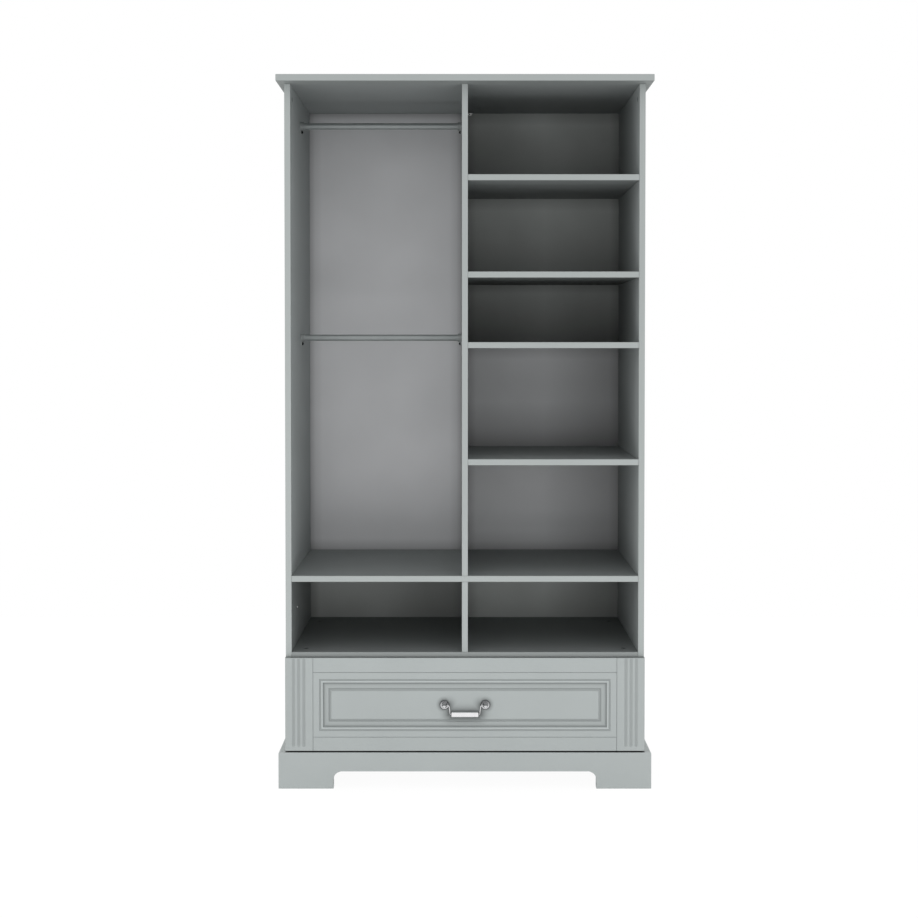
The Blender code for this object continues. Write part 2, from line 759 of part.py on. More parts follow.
def flute(centre_x):
    """A round-bottomed cutter that runs out of the top edge and ends in a half ball below."""
    half = FLUTE_WIDTH / 2
    radius = (half * half + FLUTE_DEPTH * FLUTE_DEPTH) / (2 * FLUTE_DEPTH)
    middle_y = drawer_face_y + FLUTE_DEPTH - radius
    low = drawer_front_bottom + FLUTE_BOTTOM_MARGIN + radius
    lift = drawer_front_top + CUTTER_MARGIN - low
    profile = [(0, -radius)]
    for step in range(1, FLUTE_STEPS + 1):
        turn = math.pi / 2 * step / FLUTE_STEPS
        profile.append((radius * math.sin(turn), -radius * math.cos(turn)))
    profile += [(radius, lift), (0, lift)]
    return turned(profile, (0, 0, 1), (centre_x, middle_y, low), sides=WIRE_SIDES)


def make_drawer_front(parent):
    """One panel with milled joint lines, fluted stiles and a moulding round its field."""
    shape = box(
        (-half_width, drawer_face_y, drawer_front_bottom),
        (half_width, drawer_front_back_y, drawer_front_top),
    )
    edges = [
        edge for edge in shape.edges
        if all(abs(vertex.co.y - drawer_face_y) < FIT for vertex in edge.verts)
    ]
    round_edges(shape, edges, DRAWER_FRONT_ROUND)
    front = piece("drawer_front", shape, grey_paint, parent=parent)
    cut(front, "moulding", moulding_air(MOULDING_PROFILE))
    stile_x = half_width - STILE_WIDTH
    low = drawer_front_bottom - CUTTER_MARGIN
    high = drawer_front_top + CUTTER_MARGIN
    for side, side_name in ((-1, "left"), (1, "right")):
        line = joint_line((side * stile_x, low), (side * stile_x, high))
        cut(front, f"stile_line_{side_name}", line)
        for number in range(FLUTE_COUNT):
            offset = (number - (FLUTE_COUNT - 1) / 2) * FLUTE_PITCH
            centre_x = side * (half_width - STILE_WIDTH / 2 + offset)
            cut(front, f"flute_{side_name}_{number + 1}", flute(centre_x))
    for name, z in (
        ("lower_line", drawer_front_bottom + RAIL_WIDTH),
        ("upper_line", drawer_front_top - RAIL_WIDTH),
    ):
        line = joint_line((-stile_x, z), (stile_x, z))
        cut(front, name, line)
    for side, side_name in ((-1, "left"), (1, "right")):
        drill = turned(
            (
                (0, CUTTER_MARGIN), (STUD_DIAMETER / 2 + FIT, CUTTER_MARGIN),
                (STUD_DIAMETER / 2 + FIT, -STUD_LENGTH - FIT), (0, -STUD_LENGTH - FIT),
            ),
            (0, -1, 0), (side * HANDLE_SPACING / 2, field_y, handle_z), sides=SMALL_SIDES,
        )
        cut(front, f"stud_hole_{side_name}", drill)


def make_drawer_box(parent):
    """Two sides, a back and a bottom that slides into grooves."""
    top = drawer_box_z + DRAWER_BOX_HEIGHT
    groove_low = drawer_box_z + DRAWER_BOTTOM_RISE
    groove_high = groove_low + DRAWER_BOTTOM + 2 * FIT
    inner = drawer_half - DRAWER_BOARD
    for side, name in ((-1, "drawer_left_side"), (1, "drawer_right_side")):
        groove = side * (inner + DRAWER_GROOVE_DEPTH)
        outline = rounded(
            (
                (side * drawer_half, drawer_box_z, 0), (side * drawer_half, top, EDGE_EASE),
                (side * inner, top, EDGE_EASE), (side * inner, groove_high, 0),
                (groove, groove_high, 0), (groove, groove_low, 0),
                (side * inner, groove_low, 0), (side * inner, drawer_box_z, 0),
            ),
            steps=2,
        )
        shape = prism(outline, "Y", drawer_box_front_y, drawer_box_back_y)
        piece(name, shape, drawer_board, parent=parent)
    board(
        "drawer_back", (-inner + FIT, drawer_box_back_y - DRAWER_BOARD, groove_high),
        (inner - FIT, drawer_box_back_y, top), drawer_board, parent=parent,
    )
    reach = inner + DRAWER_GROOVE_DEPTH - FIT
    board(
        "drawer_bottom", (-reach, drawer_box_front_y, groove_low + FIT),
        (reach, drawer_box_back_y, groove_low + FIT + DRAWER_BOTTOM),
        drawer_board, parent=parent, ease=THIN_EDGE_EASE,
    )


def slide_sections():
    """Cross-sections of the three members, as (distance from the cabinet wall, height) outlines."""
    steel = SLIDE_STEEL
    space = SLIDE_SPACE + 2 * FIT
    lip = space - steel - 2 * FIT
    outer_high = SLIDE_HEIGHT / 2
    outer = (
        (FIT, outer_high), (lip, outer_high), (lip, outer_high - steel),
        (FIT + steel, outer_high - steel),
    )
    ball_low = lip / 2
    ball_high = ball_low + SLIDE_BALL
    row_high = outer_high - steel - FIT
    middle_high = row_high - SLIDE_BALL
    row_low = middle_high - steel - SLIDE_BALL
    web = SLIDE_MIDDLE_WEB
    middle = (
        (web, middle_high), (ball_low, middle_high), (ball_low, row_high), (ball_high, row_high),
        (ball_high, middle_high), (lip, middle_high), (lip, middle_high - steel),
        (ball_high, middle_high - steel), (ball_high, row_low), (ball_low, row_low),
        (ball_low, middle_high - steel), (web + steel, middle_high - steel),
    )
    inner_high = row_low - FIT
    back = space - FIT
    inner = (
        (back, inner_high), (ball_low, inner_high), (ball_low, inner_high - steel),
        (back - steel, inner_high - steel),
    )
    return outer, middle, inner


def make_slides(carriers):
    """Three members a side, nested with running clearance. carriers are their parents."""
    outer, middle, inner = slide_sections()
    for side, side_name in ((-1, "left"), (1, "right")):
        fixed, follower, drawer_side = carriers[side_name]
        for member, section, parent in (
            ("outer", outer, fixed), ("middle", middle, follower), ("inner", inner, drawer_side),
        ):
            mirrored = [(distance, -height) for distance, height in reversed(section)]
            outline = [
                Vector((side * (inner_half - distance), slide_z + height))
                for distance, height in (*section, *mirrored)
            ]
            shape = prism(outline, "Y", slide_front_y, slide_front_y + SLIDE_LENGTH)
            piece(f"slide_{member}_{side_name}", shape, zinc_steel, parent=parent)


def make_post(name, x, inward, parent):
    """A rosette with a ball on a neck. The bail hooks into a hole in the ball's inner side."""
    rosette = ROSETTE_DIAMETER / 2
    neck = POST_NECK_DIAMETER / 2
    ball = BALL_DIAMETER / 2
    stud = STUD_DIAMETER / 2
    lean = math.asin(neck / ball)
    profile = [(0, -STUD_LENGTH), (stud, -STUD_LENGTH), (stud, FIT), (rosette, FIT)]
    profile += sized(ROSETTE_PROFILE, rosette, ROSETTE_THICKNESS, start=FIT)
    profile.append((neck, FIT + ROSETTE_THICKNESS))
    for step in range(ARC_STEPS + 1):
        turn = math.pi - lean - (math.pi - lean) * step / ARC_STEPS
        profile.append((ball * math.sin(turn), HANDLE_PIVOT_REACH + ball * math.cos(turn)))
    profile[-1] = (0, profile[-1][1])
    shape = turned(profile, (0, -1, 0), (x, field_y, handle_z))
    post = piece(name, shape, chrome, parent=parent, smooth=True)
    start = x + inward * (ball + CUTTER_MARGIN)
    end = x + inward * (ball - BAIL_HOOK - FIT)
    hole = circle(BAIL_WIRE / 2 + FIT, handle_y, handle_z, sides=WIRE_SIDES)
    cut(post, "bail_hole", prism(hole, "X", start, end))


def bail_route():
    """Half of the bail's centre line, from the hook in the ball to the middle of the grip."""
    hook_x = HANDLE_SPACING / 2 - BALL_DIAMETER / 2 + BAIL_HOOK
    leg_x = GRIP_LENGTH / 2 + BAIL_GRIP_CLEARANCE
    upper = Vector((leg_x + BAIL_BEND, -BAIL_BEND))
    lower = Vector((leg_x - BAIL_BEND, BAIL_BEND - BAIL_DROP))
    quarter = [math.pi / 2 * step / ARC_STEPS for step in range(ARC_STEPS + 1)]
    route = [Vector((hook_x, 0))]
    for turn in quarter:
        route.append(upper + BAIL_BEND * Vector((-math.sin(turn), math.cos(turn))))
    for turn in quarter:
        route.append(lower + BAIL_BEND * Vector((math.cos(turn), -math.sin(turn))))
    return route


def make_bail(parent):
    """The bent wire and the grip threaded on it, hanging straight down."""
    half = bail_route()
    mirrored = [Vector((-point.x, point.y)) for point in reversed(half)]
    curve = bpy.data.curves.new("handle_bail", "CURVE")
    curve.dimensions = "3D"
    curve.bevel_depth = BAIL_WIRE / 2
    curve.bevel_resolution = 3
    curve.use_fill_caps = True
    spline = curve.splines.new("POLY")
    spline.points.add(len(half) + len(mirrored) - 1)
    for slot, point in zip(spline.points, half + mirrored):
        slot.co = (point.x, 0, point.y, 1)
    curve.materials.append(chrome)
    bail = bpy.data.objects.new("handle_bail", curve)
    bail.parent = parent
    bpy.context.scene.collection.objects.link(bail)
    radius = GRIP_DIAMETER / 2
    end = GRIP_LENGTH / 2
    bore = BAIL_WIRE / 2 + FIT
    soft = GRIP_END_ROUND
    grip_z = handle_z - BAIL_DROP
    corners = ((0, end, 0), (radius, end, soft), (radius, -end, soft), (0, -end, 0))
    profile = [(point.x, point.y) for point in rounded(corners, steps=3)]
    grip = piece(
        "handle_grip", turned(profile, (1, 0, 0), (0, handle_y, grip_z)), chrome,
        parent=parent, smooth=True,
    )
    channel = circle(bore, handle_y, grip_z, sides=WIRE_SIDES)
    cut(grip, "bore", prism(channel, "X", -end - CUTTER_MARGIN, end + CUTTER_MARGIN))


drawer = pivot("drawer_slide_line", (0, drawer_front_back_y, slide_z))
middle_left = pivot("left_slide_line", (-inner_half, slide_front_y, slide_z))
middle_right = pivot("right_slide_line", (inner_half, slide_front_y, slide_z))
handle = pivot("handle_swing_axis", (0, handle_y, handle_z), drawer)

left_panel = make_side_panel("left_side_panel", -1)
make_side_panel("right_side_panel", 1)
fit_wall_cap(left_panel)
upper_divider = make_shelves()
make_back_panels()
make_top_board()
make_plinth()
make_supports()
make_angle_bracket()
make_rail("upper_rail", upper_rail_z, left_panel, upper_divider)
make_rail("lower_rail", lower_rail_z, left_panel, upper_divider)
make_drawer_front(drawer)
make_drawer_box(drawer)
make_slides({"left": (None, middle_left, drawer), "right": (None, middle_right, drawer)})
make_post("handle_post_left", -HANDLE_SPACING / 2, 1, drawer)
make_post("handle_post_right", HANDLE_SPACING / 2, -1, drawer)
make_bail(handle)
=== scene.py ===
# %% [markdown]
# # An open wardrobe with one wide drawer
#
# The real thing is a tall grey-green cabinet without doors: a hanging space with two steel rails,
# a column of shelves, two low bays and one drawer on an arched plinth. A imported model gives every
# board and fitting in its real size and place, and this lesson dresses it. Boards keep their mesh
# and get a finish. Milled, turned and bent pieces, which need rounder shapes than a machine's
# model holds, are made again around the same axes.

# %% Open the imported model
import math

import bmesh
import bpy
from mathutils import Matrix, Vector
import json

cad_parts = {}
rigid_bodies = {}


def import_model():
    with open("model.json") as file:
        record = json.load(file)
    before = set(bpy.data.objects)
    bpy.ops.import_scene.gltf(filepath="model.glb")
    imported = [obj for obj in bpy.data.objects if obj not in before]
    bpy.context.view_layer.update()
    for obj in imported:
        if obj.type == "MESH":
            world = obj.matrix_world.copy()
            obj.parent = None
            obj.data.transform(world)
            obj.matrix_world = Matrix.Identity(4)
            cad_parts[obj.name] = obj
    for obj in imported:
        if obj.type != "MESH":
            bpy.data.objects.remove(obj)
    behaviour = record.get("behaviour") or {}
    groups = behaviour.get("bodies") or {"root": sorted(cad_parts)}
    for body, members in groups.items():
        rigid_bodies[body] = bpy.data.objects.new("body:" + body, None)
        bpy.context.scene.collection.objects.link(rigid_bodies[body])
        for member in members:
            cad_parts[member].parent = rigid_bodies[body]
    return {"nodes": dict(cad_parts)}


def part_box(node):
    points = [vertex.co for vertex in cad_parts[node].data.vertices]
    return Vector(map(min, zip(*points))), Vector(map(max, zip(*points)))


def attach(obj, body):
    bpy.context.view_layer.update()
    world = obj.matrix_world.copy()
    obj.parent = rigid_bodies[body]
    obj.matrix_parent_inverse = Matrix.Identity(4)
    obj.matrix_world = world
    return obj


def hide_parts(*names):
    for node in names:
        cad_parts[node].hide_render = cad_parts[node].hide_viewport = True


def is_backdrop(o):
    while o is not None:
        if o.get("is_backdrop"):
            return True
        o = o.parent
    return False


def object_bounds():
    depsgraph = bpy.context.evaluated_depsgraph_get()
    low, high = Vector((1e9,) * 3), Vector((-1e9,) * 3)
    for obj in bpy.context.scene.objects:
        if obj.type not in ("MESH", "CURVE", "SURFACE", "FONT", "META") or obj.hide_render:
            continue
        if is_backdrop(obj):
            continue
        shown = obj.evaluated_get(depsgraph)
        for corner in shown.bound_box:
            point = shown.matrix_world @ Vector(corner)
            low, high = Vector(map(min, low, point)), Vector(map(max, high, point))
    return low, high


for leftover in list(bpy.data.objects):
    bpy.data.objects.remove(leftover, do_unlink=True)
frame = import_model()
cad_low, cad_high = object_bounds()
nodes = frame["nodes"]
scene = bpy.context.scene


def put(name, data):
    """Makes an object of a mesh, lamp or lens and puts it in the scene."""
    made = bpy.data.objects.new(name, data)
    scene.collection.objects.link(made)
    return made


size_mm = [round(1000 * side) for side in cad_high - cad_low]
print("the packed wardrobe has", len(nodes), "pieces and measures", size_mm, "mm")

# %% [markdown]
# ## The camera
#
# The photograph was taken from a little over four metres, at chest height, nearly level. A small
# tilt and a shift of the lens together frame the wardrobe as it does, and the same camera still
# frames it well when it is moved round to the sides.

# %% Set the camera
EYE = (-0.0159, -4.3453, 1.2021)
TILT_DOWN = math.radians(1.5)
LENS_MM = 59.63
FRAME_SHIFT = -0.0823

lens = bpy.data.cameras.new("view_camera")
lens.lens = LENS_MM
lens.shift_y = FRAME_SHIFT
camera = put("view_camera", lens)
camera.location = EYE
camera.rotation_euler = (math.pi / 2 - TILT_DOWN, 0, 0)
scene.camera = camera
scene.view_settings.view_transform = "Standard"
print("the camera stands", round(abs(EYE[1]), 2), "m away with a", LENS_MM, "mm lens")

# %% [markdown]
# ## Tools for making materials
#
# A shader is a small network of nodes. A few short helpers keep the code that builds one readable.
# A wired value knows the tree that it belongs to, so that most of them need not be told.

# %% Helpers for shader nodes
def feed(node, label, value):
    """Sets one input of a node to a number or a colour, or wires another node's output into it."""
    if isinstance(value, bpy.types.NodeSocket):
        node.id_data.links.new(value, node.inputs[label])
    else:
        node.inputs[label].default_value = (*value, 1.0) if isinstance(value, tuple) else value


def add_node(tree, kind, settings=None, **inputs):
    """Adds a node. settings are its own properties, and inputs are sockets to set or to wire."""
    node = tree.nodes.new(kind)
    for label, value in (settings or {}).items():
        setattr(node, label, value)
    for label, value in inputs.items():
        feed(node, label.replace("_", " "), value)
    return node


def maths(operation, *values, clamp=False):
    """A Math node's output. values fill its sockets in order, and a wired one tells the tree."""
    tree = next(value.id_data for value in values if isinstance(value, bpy.types.NodeSocket))
    node = add_node(tree, "ShaderNodeMath", {"operation": operation, "use_clamp": clamp})
    for place, value in enumerate(values):
        feed(node, place, value)
    return node.outputs[0]


def all_of(first, *others):
    """A mask that is 1 where all the given masks are."""
    for mask in others:
        first = maths("MULTIPLY", first, mask)
    return first


def within(value, limit):
    """A mask that is 1 where a value is nearer to zero than a limit, on either side."""
    return maths("LESS_THAN", maths("ABSOLUTE", value), limit)


def spread(value, low=0.0, high=1.0, start=0.0, end=1.0):
    """Stretches a value, so that it runs from low to high between start and end."""
    node = add_node(
        value.id_data, "ShaderNodeMapRange", Value=value, From_Min=start, From_Max=end,
        To_Min=low, To_Max=high,
    )
    return node.outputs["Result"]


def follow(value, points):
    """A mask drawn point by point. Each point is a place from 0 to 1 and the mask there."""
    drawn = add_node(value.id_data, "ShaderNodeValToRGB", Fac=value)
    stops = drawn.color_ramp.elements
    for stop, (place, grey) in zip((stops[0], stops[1]), (points[0], points[-1])):
        stop.position = place
        stop.color = (grey, grey, grey, 1.0)
    for place, grey in points[1:-1]:
        stops.new(place).color = (grey, grey, grey, 1.0)
    return drawn.outputs["Color"]


def blend_colours(mask, first, second):
    """A colour that goes from the first to the second as the mask goes from 0 to 1."""
    node = add_node(mask.id_data, "ShaderNodeMix", {"data_type": "RGBA"})
    for place, value in ((0, mask), (6, first), (7, second)):
        feed(node, place, value)
    return node.outputs[2]


def tinted(colour, tone):
    """A colour made darker or lighter."""
    return tuple(tone * part for part in colour)


def place_in(tree):
    """The shaded point's place in the piece's own coordinates, in metres."""
    return add_node(tree, "ShaderNodeTexCoord").outputs["Object"]


def axes_in(tree):
    """The same place as three values, X, Y and Z."""
    return add_node(tree, "ShaderNodeSeparateXYZ", Vector=place_in(tree)).outputs


def start_effect(name, inputs, outputs):
    """A new node group with named sockets: its tree, what it is given and its result."""
    effect = bpy.data.node_groups.new(name, "ShaderNodeTree")
    for label, value in inputs.items():
        socket = effect.interface.new_socket(label, in_out="INPUT", socket_type="NodeSocketFloat")
        socket.default_value = value
    for label in outputs:
        effect.interface.new_socket(label, in_out="OUTPUT", socket_type="NodeSocketFloat")
    print("effect:", name)
    given = effect.nodes.new("NodeGroupInput").outputs
    return effect, given, effect.nodes.new("NodeGroupOutput")


def place_effect(tree, effect, **inputs):
    """Puts a node group into a material, with its own values. Gives back its outputs."""
    return add_node(tree, "ShaderNodeGroup", {"node_tree": effect}, **inputs).outputs


def start_material(name, **shader_values):
    """A new material and its tree. shader_values are plain settings of its Principled shader."""
    material = bpy.data.materials.new(name)
    material.use_nodes = True
    for label, value in shader_values.items():
        feed(material.node_tree.nodes["Principled BSDF"], label.replace("_", " "), value)
    print("material:", name)
    return material, material.node_tree


def to_shader(label, value):
    """Wires a value into the material's Principled shader."""
    feed(value.id_data.nodes["Principled BSDF"], label, value)


def overlay(mask, colour):
    """Lays a colour over the shader's present one wherever the mask says."""
    present = mask.id_data.nodes["Principled BSDF"].inputs["Base Color"].links[0].from_socket
    to_shader("Base Color", blend_colours(mask, present, colour))


def roughen(sheen, grain, smooth, rough, depth, strength):
    """Varies the roughness by one mask and raises another as relief, its depth in metres."""
    to_shader("Roughness", spread(sheen, smooth, rough))
    raise_relief(grain, depth, strength)


def raise_relief(grain, depth, strength):
    bump = add_node(grain.id_data, "ShaderNodeBump", Height=grain, Distance=depth, Strength=strength)
    to_shader("Normal", bump.outputs["Normal"])


print("shader helpers are ready")

# %% [markdown]
# ## Light
#
# The photograph's light is that of a white studio: it comes from all round, so front faces are
# evenly lit and each bay grows darker with its depth. A white world gives that, and the camera and
# every mirror see it as pure white. One wide, soft lamp low in front lifts plinth and drawer a
# little. Together they light a front face with a strength of about one, so that it renders in the
# colour that its paint is written in.

# %% Fill the studio with soft light
SKY_LIGHT = 0.85
PURE_WHITE = 1.0
LAMP_WATTS = 6.0
LAMP_WIDTH = 2.4
LAMP_HEIGHT = 0.5
LAMP_PLACE = Vector((0.0, -1.5, 0.15))
LAMP_TARGET = Vector((0.0, -0.2, 0.9))


def seen_by_eye_or_mirror(tree):
    """A mask that is 1 for rays from the camera, off mirrors or through glass."""
    rays = add_node(tree, "ShaderNodeLightPath").outputs
    eye_or_mirror = maths("MAXIMUM", rays["Is Camera Ray"], rays["Is Glossy Ray"])
    return maths("MAXIMUM", eye_or_mirror, rays["Is Transmission Ray"])


studio = bpy.data.worlds.new("white_studio")
studio.use_nodes = True
scene.world = studio
tree = studio.node_tree
sky = tree.nodes["Background"]
feed(sky, "Color", (1.0, 1.0, 1.0))
feed(sky, "Strength", spread(seen_by_eye_or_mirror(tree), SKY_LIGHT, PURE_WHITE))

lamp = bpy.data.lights.new("low_soft_lamp", "AREA")
lamp.shape = "RECTANGLE"
lamp.size = LAMP_WIDTH
lamp.size_y = LAMP_HEIGHT
lamp.energy = LAMP_WATTS
low_lamp = put("low_soft_lamp", lamp)
low_lamp.location = LAMP_PLACE
low_lamp.rotation_mode = "QUATERNION"
low_lamp.rotation_quaternion = (LAMP_PLACE - LAMP_TARGET).to_track_quat("Z", "Y")
low_lamp.visible_camera = False
low_lamp.visible_glossy = False
print("sky light", SKY_LIGHT, "and a soft lamp of", LAMP_WATTS, "W")

# %% [markdown]
# ## Effects that several finishes share
#
# No painted or pressed surface is one flat colour. Close up, three things show: a slow cloudiness
# where more or less colour lies, the fine pebble that a spray gun or a press plate leaves, and on
# metal the lines of polishing. Each is one node group, worked out in the piece's own coordinates,
# so that its grain has its real size in metres and stays on the piece.

# %% Effects: clouds of colour, and the fine pebble of lacquer and film
CLOUD_CONTRAST = 2.2


def grain_in(place, size, detail, roughness):
    """A round noise whose grains have about the given size."""
    finer = maths("DIVIDE", 1.0, size)
    noise = add_node(
        place.id_data, "ShaderNodeTexNoise", Vector=place, Scale=finer, Detail=detail,
        Roughness=roughness,
    )
    return noise.outputs["Fac"]


clouds, given, result = start_effect(
    "Soft Clouds", {"Cloud Size": 0.2, "Crispness": 0.5}, ["Clouds"]
)
drift = grain_in(place_in(clouds), given["Cloud Size"], detail=4.0, roughness=given["Crispness"])
centred = maths("SUBTRACT", drift, 0.5)
stretched = maths("MULTIPLY_ADD", centred, CLOUD_CONTRAST, 0.5, clamp=True)
feed(result, "Clouds", stretched)

pebble, given, result = start_effect(
    "Fine Pebble", {"Pebble Size": 0.002, "Softness": 0.4}, ["Pebble"]
)
pebbles = grain_in(place_in(pebble), given["Pebble Size"], detail=2.0, roughness=given["Softness"])
feed(result, "Pebble", pebbles)

# %% [markdown]
# Polishing lines run one way. Squeezing the coordinates along the other two directions draws a
# round noise out into threads. The group takes the share that is kept along each direction.

# %% Effect: lines of polishing or rolling
polish, given, result = start_effect(
    "Polish Lines", {"Line Width": 0.0004, "Along X": 1.0, "Along Y": 1.0, "Along Z": 1.0}, ["Lines"]
)
shares = add_node(
    polish, "ShaderNodeCombineXYZ", X=given["Along X"], Y=given["Along Y"], Z=given["Along Z"]
)
drawn = add_node(polish, "ShaderNodeVectorMath", {"operation": "MULTIPLY"})
feed(drawn, 0, place_in(polish))
feed(drawn, 1, shares.outputs["Vector"])
threads = grain_in(drawn.outputs["Vector"], given["Line Width"], detail=3.0, roughness=0.6)
feed(result, "Lines", threads)


def cloud_mask(tree, size, crispness):
    return place_effect(tree, clouds, Cloud_Size=size, Crispness=crispness)["Clouds"]


def pebble_mask(tree, size, softness):
    return place_effect(tree, pebble, Pebble_Size=size, Softness=softness)["Pebble"]


def line_mask(tree, width, runs):
    """Polishing lines. runs are the shares that are kept along X, Y and Z."""
    x, y, z = runs
    return place_effect(tree, polish, Line_Width=width, Along_X=x, Along_Y=y, Along_Z=z)["Lines"]


# %% [markdown]
# ## Paint for the outside
#
# Top board, plinth and drawer front are sprayed in a satin grey-green. Lacquer pulls itself smooth
# into pebbles about two millimetres across, too shallow to see from a step away but enough to
# soften its shine. The plinth's top edge, right under the drawer, gets a near-black painted shadow,
# so that the gap there looks black. One group finds such an edge: everything above a level and
# behind a depth, between the wardrobe's sides.

# %% Effect and material: sprayed paint with a painted shadow on the gap edge
PAINT = (0.455, 0.490, 0.487)
PAINT_THICK = (0.442, 0.476, 0.473)
# A near-black painted shadow for edges that lie in the shadow gaps round the drawer.
GAP_SHADOW = (0.045, 0.048, 0.047)
PLINTH_ROUND = 0.003
TOP_MARGIN = 0.0003
ROUND_MARGIN = 0.0001
END_MARGIN = 0.001
plinth_low, plinth_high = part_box("plinth_front")


def spray(tree, thin, thick):
    """Wires clouds, pebble and a varying sheen into a painted surface."""
    film = cloud_mask(tree, size=0.14, crispness=0.45)
    to_shader("Base Color", blend_colours(film, thin, thick))
    pebbles = pebble_mask(tree, size=0.0022, softness=0.35)
    roughen(film, pebbles, smooth=0.42, rough=0.50, depth=0.00004, strength=0.6)


# This group finds an edge that gets a painted shadow: everything above a level and behind a depth.
gap_shadow_edge, given, result = start_effect(
    "Gap Shadow Edge", {"Level": 0.0987, "Depth": -0.2676, "Half Width": 0.486}, ["Edge"]
)
axes = axes_in(gap_shadow_edge)
above = maths("GREATER_THAN", axes["Z"], given["Level"])
behind = maths("GREATER_THAN", axes["Y"], given["Depth"])
between_ends = within(axes["X"], given["Half Width"])
feed(result, "Edge", all_of(above, behind, between_ends))

grey_green_paint, tree = start_material("grey_green_paint", Specular_IOR_Level=0.35)
spray(tree, PAINT, PAINT_THICK)
edge = place_effect(
    tree, gap_shadow_edge, Level=plinth_high.z - TOP_MARGIN,
    Depth=plinth_low.y + PLINTH_ROUND - ROUND_MARGIN,
    Half_Width=-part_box("drawer_front")[0].x + END_MARGIN,
)
overlay(edge["Edge"], GAP_SHADOW)

# %% [markdown]
# ## Carcass board
#
# The carcass is chipboard with a pressed film, darker and duller than the paint outside, and a
# lipping in the paint's colour is glued to each front edge. One material can be both: a mask says
# which points lie inside the cabinet, and a second one draws the hairline of glue where lipping
# and film meet. Each kind of board also gets its own tone of painted light and shade: lying ones
# are darker than standing ones, the two walls differ, one shelf is darker still, and so is the
# underside of the top board's overhang. The two side walls get painted shade toward the back and
# in the low bays, which two more masks give.

# %% Effect: which part of a board lies inside the cabinet
LIPPING = 0.0010
HAIR = 0.0003
FADE_DEPTH = 0.53

inside, given, result = start_effect(
    "Cabinet Inside", {"Half Width": 0.469, "Front": -0.247, "Ceiling": 1.9, "Shelf": 0.56},
    ["Inside", "Glue Line", "Under Top", "Low Bay", "Far"],
)
axes = axes_in(inside)
behind_front = maths("GREATER_THAN", axes["Y"], given["Front"])
on_hairline = maths("COMPARE", axes["Y"], given["Front"], HAIR)
under_top = maths("LESS_THAN", axes["Z"], given["Ceiling"])
under_roof = all_of(within(axes["X"], given["Half Width"]), under_top)
far_end = maths("ADD", given["Front"], FADE_DEPTH)
feed(result, "Inside", all_of(under_roof, behind_front))
feed(result, "Glue Line", all_of(under_roof, on_hairline))
feed(result, "Under Top", under_top)
feed(result, "Low Bay", maths("LESS_THAN", axes["Z"], given["Shelf"]))
feed(result, "Far", spread(axes["Y"], start=given["Front"], end=far_end))
inner_half = -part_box("bottom_board")[0].x
front_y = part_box("bottom_board")[0].y
ceiling_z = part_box("top_board")[0].z
print("the cabinet is", round(2000 * inner_half), "mm wide inside")

# %% Materials: pressed boards with a painted lipping
FILM = (0.300, 0.321, 0.320)
FILM_PALE = (0.316, 0.338, 0.337)
LIPPING_PAINT = (0.447, 0.480, 0.474)
LIPPING_THICK = (0.435, 0.467, 0.461)
GLUE = (0.200, 0.214, 0.208)
REACH = 0.0006


def press_board(name, tone, lipping_tone=1.0, overhang_tone=1.0, low_tone=1.0, deep_tone=1.0):
    """A carcass board. The tones scale its film, lipping, overhang, low part and far part as painted
    shade.
    """
    material, tree = start_material(name, Specular_IOR_Level=0.25)
    where = place_effect(
        tree, inside, Half_Width=inner_half + REACH, Front=front_y + LIPPING,
        Ceiling=ceiling_z + REACH, Shelf=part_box("middle_shelf")[0].z,
    )
    cloud = cloud_mask(tree, size=0.22, crispness=0.5)
    film = tinted(FILM, tone)
    film_colour = blend_colours(cloud, film, tinted(FILM_PALE, tone))
    if deep_tone < 1.0:
        film_colour = blend_colours(where["Far"], film_colour, tinted(film, deep_tone))
    if low_tone < 1.0:
        film_colour = blend_colours(where["Low Bay"], film_colour, tinted(film, low_tone))
    even = tinted(LIPPING_PAINT, lipping_tone)
    paint_colour = blend_colours(cloud, even, tinted(LIPPING_THICK, lipping_tone))
    if overhang_tone < 1.0:
        dim = tinted(LIPPING_PAINT, overhang_tone)
        paint_colour = blend_colours(where["Under Top"], paint_colour, dim)
    to_shader("Base Color", blend_colours(where["Inside"], paint_colour, film_colour))
    overlay(where["Glue Line"], GLUE)
    grain = pebble_mask(tree, size=0.0007, softness=0.6)
    roughen(grain, grain, smooth=0.52, rough=0.66, depth=0.00003, strength=0.5)
    return material


# Each board's tones paint in the light and shade it gets, board by board.
standing_board = press_board("standing_board", 1.1)
left_wall_board = press_board(
    "left_wall_board", 1.20, lipping_tone=1.06, low_tone=0.68, deep_tone=0.84
)
right_wall_board = press_board("right_wall_board", 1.43, low_tone=0.78, deep_tone=0.58)
shaded_shelf = press_board("shaded_shelf", 0.5)
ceiling_board = press_board("ceiling_board", 0.92, overhang_tone=0.62)
lying_board = press_board("lying_board", 0.77)
bottom_film = press_board("bottom_film", 0.66, lipping_tone=0.78)
